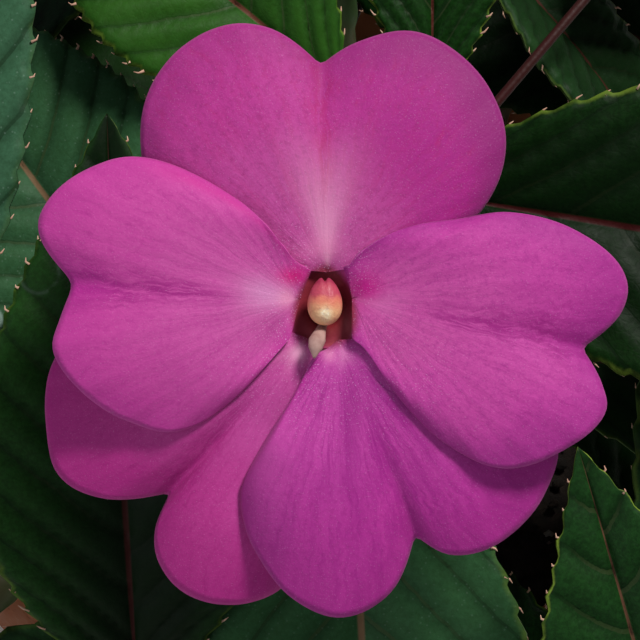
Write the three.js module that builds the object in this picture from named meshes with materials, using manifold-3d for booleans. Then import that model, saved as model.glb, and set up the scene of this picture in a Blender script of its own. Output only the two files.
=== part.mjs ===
import * as THREE from 'three';
import { mergeVertices } from 'three/addons/utils/BufferGeometryUtils.js';
import Module from 'manifold-3d';

// A New Guinea impatiens growing in a plain clay pot, in millimetres, +Z up.
// The origin is the middle of the pot's flat underside, and -Y is the side of the bloom in front.

const wasm = await Module();
wasm.setup();

// Pot and soil
const potHeight = 108;
const potRimRadius = 68;
const potFootRadius = 46;
const potWall = 5.5;
const collarHeight = 24;
const collarProud = 3.5;
const floorThickness = 7;
const drainHoleRadius = 5;
const drainHoleRing = 24;
const drainHoles = 3;
const soilBelowRim = 11;
const rootDepth = 24;
const gap = 0.3;

// Plant
const domeCentre = new THREE.Vector3(0, 0, 112);
const stemFootRing = 27;
const stemFootRadius = 4.6;
const stemTipRadius = 2.5;
const leafLength = 92;
const leafWidth = 33;
const leafThickness = 1.2;
const leafTeeth = 7;
const petioleRadius = 1.25;
const petioleLength = 20;
const petioleRise = 0.06;
const pedicelRadius = 0.95;
const bloomLift = 45;
const petalThickness = 1.2;
const leafClearance = 6.4;
const goldenTurn = 137.5;
const leafLevels = 9;

// Where each shoot leans to: its compass bearing, its height angle, and its reach from the dome's centre.
const shoots = [
  { name: 'front', bearing: -90, height: 57, reach: 92, leaves: 4, turn: 20 },
  { name: 'front_right', bearing: -68, height: 10, reach: 116, leaves: 7, turn: 200 },
  { name: 'right', bearing: 2, height: 38, reach: 96, leaves: 8, turn: 75 },
  { name: 'front_left', bearing: -121, height: 25.5, reach: 108, leaves: 7, turn: 130 },
  { name: 'back_left', bearing: 165, height: 30, reach: 98, leaves: 8, turn: 310 },
  { name: 'back', bearing: 104, height: 34, reach: 98, leaves: 9, turn: 250 },
  { name: 'back_right', bearing: 48, height: 22, reach: 102, leaves: 7, turn: 10 },
  { name: 'top', bearing: 84, height: 72, reach: 94, leaves: 9, turn: 170 },
];

// Blooms stand clear of the leaves on their stalks. The first one faces the viewer.
const blooms = [
  { shoot: 0, lean: 0, aside: 0, size: 1, turn: 0, mirror: 1 },
  { shoot: 1, lean: 6, aside: -8, size: 0.9, turn: -14, mirror: -1 },
  { shoot: 2, lean: 10, aside: 6, size: 0.94, turn: 10, mirror: 1 },
  { shoot: 4, lean: 14, aside: 0, size: 0.9, turn: 8, mirror: -1 },
  { shoot: 5, lean: 8, aside: -6, size: 0.96, turn: -8, mirror: 1 },
  { shoot: 7, lean: -4, aside: 10, size: 0.92, turn: 24, mirror: -1 },
];

// Unopened buds, set beside a shoot's tip.
const buds = [
  { shoot: 3, side: -20, along: 2, lift: 28 },
  { shoot: 6, side: -14, along: 8, lift: 33 },
  { shoot: 6, side: 12, along: -10, lift: 25 },
  { shoot: 7, side: -20, along: 18, lift: 24 },
  { shoot: 2, side: 22, along: -12, lift: 26 },
];

// A petal's outline is a list of [bearing in degrees, radius] about its claw at [x, y] in the throat.
// The notch between its two lobes is the shortest of the inner radii.
const petals = {
  standard: {
    claw: [0.4, 3.1], layer: 0, rise: -1.6, phase: 0.4, notch: 91.9,
    outline: [[176, 8], [158, 20], [145, 25.4], [131, 28.9], [116, 29.9], [104, 28.1], [91.9, 23.1],
      [82, 26], [68, 28.7], [48, 27.2], [30, 22.4], [8, 11]],
  },
  lowerLeft: {
    claw: [-1.8, -4.2], layer: -0.4, rise: -5.2, phase: 1.9, notch: 228.3,
    outline: [[160, 12], [174, 24], [185.9, 29], [199, 31.2], [209, 32], [218, 29.3], [228.3, 23.4],
      [231.5, 27.7], [237, 30.6], [246, 32], [258, 30.5], [268, 26], [284, 12]],
  },
  lowerRight: {
    claw: [1.55, -4.4], layer: 0, rise: -2.4, phase: 2.6, notch: 291.5,
    outline: [[216, 2.6], [233, 11], [238.8, 20.7], [248.7, 25.3], [260, 29.2], [271, 30.9], [282, 28.7],
      [291.5, 23.5], [298, 27.2], [309, 29], [324, 28.8], [338, 26], [352, 16], [364, 6]],
  },
  leftWing: {
    claw: [-2.65, 0], layer: 0.4, rise: 0.6, phase: 0.9, notch: 175.9,
    outline: [[100, 5], [122.6, 13.5], [137.2, 23.2], [146.8, 27.1], [158, 29.8], [166, 29.6], [175.9, 24.9],
      [184.3, 26.5], [192, 27.7], [202.7, 26.1], [215, 23.3], [229, 18.9], [243, 8]],
  },
  rightWing: {
    claw: [3.1, 0.2], layer: 0.4, rise: 0.4, phase: 3.4, notch: -12.2,
    outline: [[95, 3.6], [64, 7.3], [40, 13.4], [28.9, 19.7], [17, 25.8], [6, 30.1], [-2.5, 30],
      [-12.2, 26.1], [-19, 29.2], [-25, 30.6], [-36, 28.6], [-48.6, 25], [-58, 18.5], [-72, 7]],
  },
};

// Leaves round the front bloom, in the bloom's own frame: x right, y up, z towards the viewer.
// Each has the shoot and the share of its height that the stalk comes from, the blade's base and its tip.
const framingLeaves = [
  { shoot: 0, at: 0.99, base: [11, 13.5, -34], tip: [105, -2, -46], width: 39, bend: 0 },
  { shoot: 0, at: 0.97, base: [3, -9, -34], tip: [8, -104, -58], width: 42, bend: 0 },
  { shoot: 0, at: 0.93, base: [-20, -7, -46], tip: [-56, 41, -58], width: 35, bend: 0 },
  { shoot: 0, at: 0.96, base: [2, 27, -42], tip: [-40, 61, -48], width: 29, bend: 0 },
  { shoot: 0, at: 0.9, base: [14, 26, -50], tip: [14, 84, -58], width: 20, bend: 0 },
  { shoot: 0, at: 0.8, base: [40, 46, -62], tip: [72, 104, -88], width: 32, bend: 2 },
  { shoot: 1, at: 0.97, base: [50, -85, -40], tip: [29.4, -16.8, -15], width: 34, bend: 0 },
  { shoot: 1, at: 0.9, base: [34, -96, -72], tip: [12, -24, -64], width: 32, bend: 2 },
  { shoot: 2, at: 0.93, base: [60, 32, -96], tip: [-6, 56, -104], width: 34, bend: 2 },
  { shoot: 3, at: 0.98, base: [-23, -48, -36], tip: [-25.5, 22.2, -20], width: 35, bend: 0 },
  { shoot: 3, at: 0.95, base: [-62, -28, -27], tip: [-43, 84, -31], width: 34, bend: 2 },
];

// Colours
const colours = {
  clay: 0xb4673f,
  soil: 0x3a2a20,
  leaf: 0x1f4a22,
  petal: 0xb84e9a,
  sepal: 0xb98f8a,
  column: 0xe2a48c,
  bud: 0xa8517d,
};

const rad = THREE.MathUtils.degToRad;
const upward = new THREE.Vector3(0, 0, 1);

function material(colour, roughness) {
  return new THREE.MeshStandardMaterial({ color: colour, roughness, metalness: 0 });
}

// One draw after another from a seeded sequence, each from 0 to 1.
let drawState = 20611;
function draw() {
  drawState = (drawState * 1664525 + 1013904223) % 4294967296;
  return drawState / 4294967296;
}

// A closed geometry as a solid, with its faces turned outwards.
function solid(geometry) {
  geometry.deleteAttribute('normal');
  geometry.deleteAttribute('uv');
  const merged = mergeVertices(geometry, 1e-4);
  const places = merged.attributes.position.array;
  const corners = merged.index.array;
  const kept = [];
  let volume = 0;
  for (let i = 0; i < corners.length; i += 3) {
    const [a, b, c] = [corners[i], corners[i + 1], corners[i + 2]];
    if (a === b || b === c || c === a) continue;
    kept.push(a, b, c);
    const p = new THREE.Vector3().fromArray(places, 3 * a);
    const q = new THREE.Vector3().fromArray(places, 3 * b);
    const r = new THREE.Vector3().fromArray(places, 3 * c);
    volume += p.dot(q.cross(r));
  }
  if (volume < 0) kept.reverse();
  return new wasm.Manifold(new wasm.Mesh({
    numProp: 3,
    vertProperties: new Float32Array(places),
    triVerts: new Uint32Array(kept),
  }));
}

function join(solids) {
  return solids.reduce((whole, piece) => whole.add(piece));
}

function namedMesh(name, shape, look) {
  const result = shape.getMesh();
  const geometry = new THREE.BufferGeometry();
  geometry.setAttribute('position', new THREE.BufferAttribute(new Float32Array(result.vertProperties), 3));
  geometry.setIndex(new THREE.BufferAttribute(new Uint32Array(result.triVerts), 1));
  geometry.computeVertexNormals();
  const mesh = new THREE.Mesh(geometry, look);
  mesh.name = name;
  return mesh;
}

// A round rod through a list of points, thick as the list of radii says.
function rod(points, radii, sides) {
  const steps = points.length - 1;
  const geometry = new THREE.CylinderGeometry(1, 1, steps, sides, steps);
  const frames = [];
  let across = new THREE.Vector3(1, 0.2, 0.1);
  for (let i = 0; i <= steps; i += 1) {
    const before = points[Math.max(i - 1, 0)];
    const after = points[Math.min(i + 1, steps)];
    const along = after.clone().sub(before).normalize();
    across = across.clone().addScaledVector(along, -across.dot(along)).normalize();
    frames.push({ across, other: across.clone().cross(along) });
  }
  const place = geometry.attributes.position;
  for (let i = 0; i < place.count; i += 1) {
    const ring = Math.round(place.getY(i) + steps / 2);
    const { across: e1, other: e2 } = frames[ring];
    const spot = points[ring].clone();
    spot.addScaledVector(e1, place.getX(i) * radii[ring]);
    spot.addScaledVector(e2, place.getZ(i) * radii[ring]);
    place.setXYZ(i, spot.x, spot.y, spot.z);
  }
  return solid(geometry);
}

// A thin blade: two faces with the same triangles, which meet along the outline.
// A point whose half thickness is null lies on the outline.
function blade(points, halves, triangles) {
  const places = [];
  const upper = [];
  const lower = [];
  points.forEach((point, i) => {
    if (halves[i] === null) {
      upper.push(places.length / 3);
      lower.push(places.length / 3);
      places.push(...point.toArray());
      return;
    }
    upper.push(places.length / 3);
    places.push(...point.clone().add(halves[i]).toArray());
    lower.push(places.length / 3);
    places.push(...point.clone().sub(halves[i]).toArray());
  });
  const corners = [];
  for (const [a, b, c] of triangles) {
    corners.push(upper[a], upper[b], upper[c]);
    corners.push(lower[a], lower[c], lower[b]);
  }
  const geometry = new THREE.BufferGeometry();
  geometry.setAttribute('position', new THREE.BufferAttribute(new Float32Array(places), 3));
  geometry.setIndex(corners);
  return solid(geometry);
}

function direction(bearing, height) {
  const [turn, lift] = [rad(bearing), rad(height)];
  return new THREE.Vector3(Math.cos(lift) * Math.cos(turn), Math.cos(lift) * Math.sin(turn), Math.sin(lift));
}

function bezier(a, b, c, t) {
  const point = a.clone().multiplyScalar((1 - t) * (1 - t));
  return point.addScaledVector(b, 2 * t * (1 - t)).addScaledVector(c, t * t);
}

// Pot

function potRadiusAt(z) {
  return potFootRadius + (potRimRadius - collarProud - potFootRadius) * z / potHeight;
}

function lathe(profile, segments) {
  const points = profile.map(([radius, z]) => new THREE.Vector2(radius, z));
  return new THREE.LatheGeometry(points, segments).rotateX(Math.PI / 2);
}

function uprightCylinder(x, y, bottom, top, radius, sides) {
  const geometry = new THREE.CylinderGeometry(radius, radius, top - bottom, sides).rotateX(Math.PI / 2);
  return solid(geometry.translate(x, y, (top + bottom) / 2));
}

function makePot() {
  const collarFoot = potHeight - collarHeight;
  let pot = solid(lathe([
    [0, 0],
    [potFootRadius - 1.5, 0],
    [potFootRadius, 1.5],
    [potRadiusAt(collarFoot), collarFoot],
    [potRimRadius - 1.2, collarFoot + 1],
    [potRimRadius, collarFoot + 3],
    [potRimRadius, potHeight - 2],
    [potRimRadius - 2, potHeight],
    [potRimRadius - potWall, potHeight],
    [potRimRadius - potWall - 2, potHeight - 2.5],
    [potRadiusAt(collarFoot) - potWall, collarFoot],
    [potRadiusAt(floorThickness) - potWall, floorThickness],
    [0, floorThickness],
  ], 32));
  for (let i = 0; i < drainHoles; i += 1) {
    const turn = rad(90 + i * 360 / drainHoles);
    const [x, y] = [drainHoleRing * Math.cos(turn), drainHoleRing * Math.sin(turn)];
    pot = pot.subtract(uprightCylinder(x, y, -1, floorThickness + 1, drainHoleRadius, 12));
  }
  return pot;
}

// Soil, with a plain hole for each stem

const soilTop = potHeight - soilBelowRim;

function makeSoil() {
  const collarFoot = potHeight - collarHeight;
  const inner = (z) => potRadiusAt(z) - potWall - gap;
  const rimInner = potRimRadius - potWall - 2 - gap;
  const share = (soilTop - collarFoot) / (potHeight - 2.5 - collarFoot);
  const edge = THREE.MathUtils.lerp(inner(collarFoot), rimInner, share) - 0.3;
  let soil = solid(lathe([
    [0, floorThickness + gap],
    [inner(floorThickness) - 0.2, floorThickness + gap],
    [inner(collarFoot) - 0.1, collarFoot],
    [edge, soilTop - 2],
    [edge - 4, soilTop],
    [edge * 0.5, soilTop + 1.2],
    [0, soilTop + 1.6],
  ], 32));
  for (const stem of stems) {
    const { x, y } = stem.foot;
    const hole = uprightCylinder(x, y, soilTop - rootDepth, soilTop + 5, stemFootRadius + 2 * gap, 8);
    soil = soil.subtract(hole);
  }
  return soil;
}

// Stems: each stands upright in its hole and then leans out to its tip

function stemPath(shoot, index) {
  const tip = domeCentre.clone().addScaledVector(direction(shoot.bearing, shoot.height), shoot.reach);
  const ring = shoot.height > 70 ? 3 : stemFootRing;
  const out = direction(shoot.bearing, 0);
  const foot = new THREE.Vector3(out.x * ring, out.y * ring, soilTop - rootDepth + gap);
  const collar = foot.clone().setZ(soilTop + 3);
  const knee = foot.clone().setZ(soilTop + 3 + 0.62 * (tip.z - soilTop));
  return { index, name: shoot.name, foot, collar, knee, tip };
}

function stemPoint(stem, t) {
  return bezier(stem.collar, stem.knee, stem.tip, t);
}

function stemAlong(stem, t) {
  return stemPoint(stem, Math.min(t + 0.02, 1)).sub(stemPoint(stem, t - 0.02)).normalize();
}

function stemRadiusAt(t) {
  return THREE.MathUtils.lerp(stemFootRadius, stemTipRadius, t);
}

const stemSteps = 6;
const stems = shoots.map(stemPath);

// Blooms

function bloomFrame(bloom) {
  const shoot = shoots[bloom.shoot];
  const facing = direction(shoot.bearing + bloom.aside, shoot.height + bloom.lean);
  const tip = stems[bloom.shoot].tip;
  const right = upward.clone().cross(facing).normalize();
  const up = facing.clone().cross(right);
  const turned = right.clone().applyAxisAngle(facing, rad(bloom.turn));
  const risen = up.clone().applyAxisAngle(facing, rad(bloom.turn));
  const centre = tip.clone().addScaledVector(facing, bloomLift * bloom.size);
  const at = (x, y, z) => centre.clone()
    .addScaledVector(turned, bloom.mirror * bloom.size * x)
    .addScaledVector(risen, bloom.size * y)
    .addScaledVector(facing, bloom.size * z);
  return { centre, facing, right: turned, up: risen, at, size: bloom.size, shoot: bloom.shoot };
}

// Height of a petal's middle surface, share of the way out and side from -1 to 1 across its two lobes.
function petalHeight(petal, share, side) {
  const open = 1 - (1 - share) ** 4;
  const crease = Math.exp(-((side / 0.16) ** 2));
  return (petal.layer * 2 - 2.2) * (1 - open)
    + petal.layer * open
    + petal.rise * share
    + 1.1 * 4 * share * (1 - share)
    - 0.9 * share ** 5
    - 0.9 * crease * share
    + 0.7 * Math.sin(4.2 * side + petal.phase) * share * share;
}

function petalSide(petal, bearing) {
  const first = petal.outline[0][0];
  const last = petal.outline[petal.outline.length - 1][0];
  const end = Math.sign(bearing - petal.notch) === Math.sign(first - petal.notch) ? first : last;
  return (bearing - petal.notch) / Math.abs(end - petal.notch);
}

// A point of a petal's middle surface, a share of the way out along a bearing.
function petalPoint(petal, frame, share, bearing, radius) {
  const height = petalHeight(petal, share, petalSide(petal, bearing));
  const x = petal.claw[0] + share * radius * Math.cos(rad(bearing));
  const y = petal.claw[1] + share * radius * Math.sin(rad(bearing));
  return frame.at(x, y, height);
}

// Triangles between an inner and an outer row of points that have unlike counts.
function stitch(inner, outer) {
  const triangles = [];
  let [i, j] = [0, 0];
  while (i < inner.length - 1 || j < outer.length - 1) {
    const outerNext = i === inner.length - 1 || j * (inner.length - 1) <= i * (outer.length - 1);
    if (outerNext) {
      triangles.push([inner[i], outer[j], outer[j + 1]]);
      j += 1;
    } else {
      triangles.push([inner[i], outer[j], inner[i + 1]]);
      i += 1;
    }
  }
  return triangles;
}

// A petal: its claw, a narrow row past the throat, a wide row, and the outline of its two lobes.
function makePetal(petal, frame) {
  const points = [petalPoint(petal, frame, 0, petal.notch, 0)];
  const halves = [null];
  const notch = petal.outline.find(([bearing]) => bearing === petal.notch);
  const ends = [petal.outline[0], notch, petal.outline[petal.outline.length - 1]];
  const rows = [
    { share: 0.24, stations: ends, half: 0.6 * petalThickness / 2 },
    { share: 0.62, stations: petal.outline, half: petalThickness / 2 },
    { share: 1, stations: petal.outline, half: null },
  ];
  const rowPoints = rows.map(({ share, stations, half }) => stations.map(([bearing, radius], i) => {
    const inside = half !== null && i > 0 && i < stations.length - 1;
    points.push(petalPoint(petal, frame, share, bearing, radius));
    halves.push(inside ? frame.facing.clone().multiplyScalar(half) : null);
    return points.length - 1;
  }));
  const triangles = [...stitch([0], rowPoints[0]), ...stitch(rowPoints[0], rowPoints[1])];
  const [inner, outer] = [rowPoints[1], rowPoints[2]];
  for (let i = 0; i + 1 < inner.length; i += 1) {
    const [a, b, c, d] = [inner[i], inner[i + 1], outer[i], outer[i + 1]];
    const firstHalf = i < inner.length / 2;
    triangles.push(firstHalf ? [a, c, b] : [a, c, d]);
    triangles.push(firstHalf ? [b, c, d] : [a, d, b]);
  }
  return blade(points, halves, triangles);
}

function makePetals(frame) {
  const ring = new THREE.TorusGeometry(1, 0.2, 4, 8);
  const place = ring.attributes.position;
  for (let i = 0; i < place.count; i += 1) {
    const spot = frame.at(place.getX(i) * 3.7, place.getY(i) * 4.5 - 0.2, place.getZ(i) * 6.5 - 2.1);
    place.setXYZ(i, spot.x, spot.y, spot.z);
  }
  return join([solid(ring), ...Object.values(petals).map((petal) => makePetal(petal, frame))]);
}

// The lowest sepal: a cup behind the throat, its pale lip below the column, and the long spur

const cupMouth = -3.4 - gap;
const cupBack = -12;

function spurPoints(frame) {
  return [[0, -1.2, 2], [0, -4, -5], [1.5, -12, -9], [3.5, -20, -8], [5.5, -26, -3], [7, -28.5, 5]]
    .map(([x, y, z]) => frame.at(x, y, cupBack + z));
}

function lipPoints(frame) {
  return [[0, -3.1, -5], [-0.1, -2.6, -2.2], [-0.6, -4.2, 0.5], [-1.1, -6.4, 1.1]]
    .map(([x, y, z]) => frame.at(x, y, z));
}

function makeSepal(frame) {
  const cup = lathe([
    [0, cupBack + 3],
    [2, cupBack + 4.5],
    [3.5, cupMouth],
    [4.6, cupMouth],
    [2.6, cupBack + 1],
    [0, cupBack - 1],
  ], 8);
  const place = cup.attributes.position;
  for (let i = 0; i < place.count; i += 1) {
    const spot = frame.at(place.getX(i) * 0.86, place.getY(i), place.getZ(i));
    place.setXYZ(i, spot.x, spot.y, spot.z);
  }
  const scale = frame.size;
  const spur = rod(spurPoints(frame), [1.5, 1.3, 1.05, 0.9, 0.75, 0.6].map((r) => r * scale), 5);
  const lip = rod(lipPoints(frame), [0.6, 0.5, 0.85, 0.35].map((r) => r * scale), 4);
  return join([solid(cup), spur, lip]);
}

// The column: stamens fused in an egg-shaped cap over the ovary, on a short stalk in the cup
function makeColumn(frame) {
  const cap = new THREE.SphereGeometry(1, 7, 5);
  const place = cap.attributes.position;
  for (let i = 0; i < place.count; i += 1) {
    const y = place.getY(i);
    const narrow = 1 - 0.16 * y;
    const [x, z] = [place.getX(i) * 1.9 * narrow, place.getZ(i) * 1.7 * narrow];
    const spot = frame.at(x + 0.1, y * 2.7 - 0.1, z + 0.3);
    place.setXYZ(i, spot.x, spot.y, spot.z);
  }
  const foot = frame.at(0, 0, cupBack + 4);
  const radii = [0.9, 1, 1].map((r) => r * frame.size);
  const stalk = rod([foot, frame.at(0, 0.2, -5), frame.at(0, 0.2, 0)], radii, 5);
  return join([solid(cap), stalk]);
}

const bloomFrames = blooms.map(bloomFrame);
const front = bloomFrames[0];

// A stalk from the shoot's tip to the back of a bloom's cup, beside the spur.
function pedicelPoints(frame) {
  const start = stemPoint(stems[frame.shoot], 0.985);
  const end = frame.at(0, 1.9, cupBack - 0.5 - gap);
  const knee = start.clone().lerp(end, 0.5).addScaledVector(frame.up, 3.5 * frame.size);
  return [0, 0.35, 0.7, 1].map((t) => bezier(start, knee, end, t));
}

// Buds: a pointed egg with a thin curved spur, hanging on its own stalk

function budPlace(bud) {
  const shoot = shoots[bud.shoot];
  const tip = stems[bud.shoot].tip;
  const facing = direction(shoot.bearing, shoot.height);
  const right = upward.clone().cross(facing).normalize();
  const up = facing.clone().cross(right);
  const centre = tip.clone().addScaledVector(right, bud.side).addScaledVector(up, bud.along);
  centre.addScaledVector(facing, bud.lift);
  return { ...bud, centre, facing, right, up };
}

function makeBud(bud) {
  const egg = new THREE.SphereGeometry(1, 8, 6);
  const place = egg.attributes.position;
  for (let i = 0; i < place.count; i += 1) {
    const y = place.getY(i);
    const narrow = 4.4 * (1 - 0.25 * y);
    const spot = bud.centre.clone().addScaledVector(bud.facing, y * 8);
    spot.addScaledVector(bud.right, place.getX(i) * narrow).addScaledVector(bud.up, place.getZ(i) * narrow);
    place.setXYZ(i, spot.x, spot.y, spot.z);
  }
  return join([solid(egg), rod(budCurl(bud), [1.5, 1, 0.8, 0.6], 5)]);
}

function budCurl(bud) {
  return [[0, -3, -5], [0, -9, -7], [0, -15, -5], [0, -19, 0]].map(([x, y, z]) => bud.centre.clone()
    .addScaledVector(bud.right, x).addScaledVector(bud.up, y).addScaledVector(bud.facing, z));
}

function budStalk(bud) {
  const start = stemPoint(stems[bud.shoot], 0.97);
  const end = bud.centre.clone().addScaledVector(bud.facing, -8 - gap);
  const knee = end.clone().addScaledVector(bud.facing, -14);
  return [0, 0.35, 0.7, 1].map((t) => bezier(start, knee, end, t));
}

const budPlaces = buds.map(budPlace);

// Leaves

// Half the blade's width, from 0 at its base to 1 at the widest and 0 at the tip.
function leafOutline(s) {
  return Math.sin(Math.PI * s ** 0.82) ** 0.9 * (1 - 0.22 * s ** 4);
}

function leafPoint(leaf, s, t) {
  const half = leaf.width / 2 * leafOutline(s);
  const point = leaf.base.clone().lerp(leaf.tip, s);
  point.addScaledVector(leaf.up, leaf.arch * 4 * s * (1 - s) + 0.16 * Math.abs(t) * half);
  return point.addScaledVector(leaf.side, leaf.bend * 4 * s * (1 - s) + t * half);
}

function finishLeaf(leaf, normal) {
  const along = leaf.tip.clone().sub(leaf.base);
  const length = along.length();
  along.normalize();
  const up = normal.clone().addScaledVector(along, -normal.dot(along)).normalize();
  return { ...leaf, length, up, side: along.cross(up), arch: leaf.lift * length };
}

function petioleAt(leaf, t) {
  const knee = leaf.start.clone().lerp(leaf.base, 0.5).addScaledVector(leaf.up, petioleRise * leaf.length);
  const end = leafPoint(leaf, 0.05, 0);
  return bezier(leaf.start, knee, end, t);
}

// Points that stand for a leaf when it is set clear of others.
function leafSpots(leaf) {
  const spots = [];
  for (let i = 0; i <= 14; i += 1) {
    const s = 0.06 + 0.94 * i / 14;
    for (const t of [-1, -0.5, 0, 0.5, 1]) spots.push([leafPoint(leaf, s, t), 0]);
  }
  for (const t of [0.25, 0.45, 0.65, 0.85]) spots.push([petioleAt(leaf, t), petioleRadius]);
  return spots;
}

// Everything placed so far: points with a radius and the stem that they belong to.
const taken = [];

function take(spots, owner) {
  for (const [point, radius] of spots) taken.push({ point, radius, owner });
}

function outsideBlooms(point) {
  return bloomFrames.every((frame) => {
    const reach = point.clone().sub(frame.centre);
    const depth = reach.dot(frame.facing);
    const aside = Math.hypot(reach.dot(frame.right), reach.dot(frame.up));
    return depth < -9 * frame.size || aside > 36 * frame.size || depth > 70;
  });
}

function outsidePot(point) {
  if (point.z > potHeight + 5) return true;
  return point.z > 34 && Math.hypot(point.x, point.y) > potRimRadius + 5;
}

function fits(leaf, clearance) {
  return leafSpots(leaf).every(([point, radius]) => {
    if (!outsidePot(point) || !outsideBlooms(point)) return false;
    return taken.every((other) => {
      if (other.owner === leaf.shoot && (radius > 0 || other.radius > 0)) return true;
      return point.distanceTo(other.point) > clearance + radius + other.radius;
    });
  });
}

function ownStemSpots(stem) {
  const spots = [];
  for (let i = 0; i <= 20; i += 1) spots.push([stemPoint(stem, i / 20), stemRadiusAt(i / 20)]);
  return spots;
}

function rodSpots(points, radius) {
  const spots = [];
  for (let i = 0; i + 1 < points.length; i += 1) {
    for (const t of [0, 0.33, 0.67]) spots.push([points[i].clone().lerp(points[i + 1], t), radius]);
  }
  spots.push([points[points.length - 1], radius]);
  return spots;
}

stems.forEach((stem) => take(ownStemSpots(stem), stem.index));
bloomFrames.forEach((frame) => take(rodSpots(pedicelPoints(frame), pedicelRadius), frame.shoot));
bloomFrames.forEach((frame) => take(rodSpots(spurPoints(frame), 1.2), -1));
budPlaces.forEach((bud) => take(rodSpots(budStalk(bud), pedicelRadius), bud.shoot));
budPlaces.forEach((bud) => take([[bud.centre, 8], ...rodSpots(budCurl(bud), 3)], -1));

const leaves = [];

for (const framing of framingLeaves) {
  const leaf = finishLeaf({
    shoot: framing.shoot,
    start: stemPoint(stems[framing.shoot], framing.at),
    base: front.at(...framing.base),
    tip: front.at(...framing.tip),
    width: framing.width,
    bend: framing.bend,
    lift: 0.07,
  }, front.facing);
  take(leafSpots(leaf), leaf.shoot);
  leaves.push(leaf);
}

const azimuthTries = [0, 22, -22, 44, -44, 68, -68, 94, -94, 122, -122, 150, -150, 180];
const liftTries = [0, -12, 12, -24, 24];
const sizeTries = [1, 0.84, 0.7, 0.58];

function ruleLeaf(shoot, stem, level, size, liftTurn, azimuthTurn, chance) {
  const t = 0.97 - 0.068 * level;
  const start = stemPoint(stem, t);
  const out = start.clone().sub(domeCentre).normalize();
  const normal = out.multiplyScalar(0.45).addScaledVector(stemAlong(stem, t), 0.3);
  normal.addScaledVector(upward, 0.6).normalize();
  const sideways = upward.clone().cross(normal).normalize();
  const uphill = normal.clone().cross(sideways);
  const azimuth = rad(shoot.turn + goldenTurn * level + azimuthTurn);
  const heading = sideways.multiplyScalar(Math.sin(azimuth)).addScaledVector(uphill, -Math.cos(azimuth));
  const stalk = petioleLength * (0.8 + 0.5 * chance[0]);
  const base = start.clone().addScaledVector(heading, stalk).addScaledVector(normal, 0.45 * stalk);
  const tilt = rad(-10 - 2.2 * level + liftTurn);
  const length = leafLength * size * (0.92 + 0.14 * chance[1]);
  const tip = base.clone().addScaledVector(heading, length * Math.cos(tilt));
  tip.addScaledVector(normal, length * Math.sin(tilt));
  tip.z -= 0.1 * length;
  return finishLeaf({
    shoot: stem.index,
    start,
    base,
    tip,
    width: leafWidth * size * (0.94 + 0.12 * chance[2]),
    bend: 5 * (chance[3] - 0.5),
    lift: 0.11,
  }, normal);
}

function firstClear(shoot, stem, level) {
  const chance = [draw(), draw(), draw(), draw()];
  for (const size of sizeTries) {
    for (const liftTurn of liftTries) {
      for (const azimuthTurn of azimuthTries) {
        const leaf = ruleLeaf(shoot, stem, level, size, liftTurn, azimuthTurn, chance);
        if (fits(leaf, leafClearance)) return leaf;
      }
    }
  }
  return null;
}

for (let level = 0; level < leafLevels; level += 1) {
  shoots.forEach((shoot, i) => {
    if (level >= shoot.leaves) return;
    const leaf = firstClear(shoot, stems[i], shoot.name === 'front' ? level + 4 : level);
    if (leaf === null) return;
    take(leafSpots(leaf), leaf.shoot);
    leaves.push(leaf);
  });
}

// Where a leaf's stalk is at t, and its half width and half thickness there.
function stalkRing(leaf, t) {
  const middle = petioleAt(leaf, t);
  const along = petioleAt(leaf, t + 0.04).sub(petioleAt(leaf, t - 0.04)).normalize();
  const across = leaf.side.clone().addScaledVector(along, -leaf.side.dot(along)).normalize();
  const core = across.clone().cross(along).multiplyScalar(petioleRadius);
  return { middle, across: across.multiplyScalar(petioleRadius), core };
}

// A leaf in one piece: its stalk is a slim four-sided length that opens into the toothed blade.
function makeLeaf(leaf) {
  const points = [];
  const halves = [];
  const triangles = [];
  const add = (point, half) => {
    points.push(point);
    halves.push(half);
    return points.length - 1;
  };
  const root = add(leaf.start, null);
  const rib = leaf.up.clone().multiplyScalar(leafThickness / 2);
  const rings = [0.45, 0.96].map((t) => stalkRing(leaf, t));
  const stalkMiddles = rings.map((ring) => add(ring.middle, ring.core));
  const middle = [stalkMiddles[1]];
  for (let k = 1; k <= leafTeeth; k += 1) {
    middle.push(add(leafPoint(leaf, k / leafTeeth, 0), k === leafTeeth ? null : rib));
  }
  for (const side of [-1, 1]) {
    const face = (a, b, c) => triangles.push(side < 0 ? [a, b, c] : [a, c, b]);
    const strip = (a, b, c, d) => {
      face(a, b, c);
      face(c, b, d);
    };
    const beside = rings.map((ring) => add(ring.middle.clone().addScaledVector(ring.across, side), null));
    face(root, beside[0], stalkMiddles[0]);
    strip(stalkMiddles[0], beside[0], stalkMiddles[1], beside[1]);
    let notch = beside[1];
    for (let k = 0; k < leafTeeth; k += 1) {
      const tooth = add(leafPoint(leaf, (k + 0.66) / leafTeeth, side * 1.08), null);
      if (k === leafTeeth - 1) {
        face(middle[k], notch, tooth);
        face(middle[k], tooth, middle[k + 1]);
        continue;
      }
      const next = add(leafPoint(leaf, (k + 1) / leafTeeth, side * 0.92), null);
      face(middle[k], notch, middle[k + 1]);
      face(middle[k + 1], notch, tooth);
      face(middle[k + 1], tooth, next);
      notch = next;
    }
  }
  return blade(points, halves, triangles);
}

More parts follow.
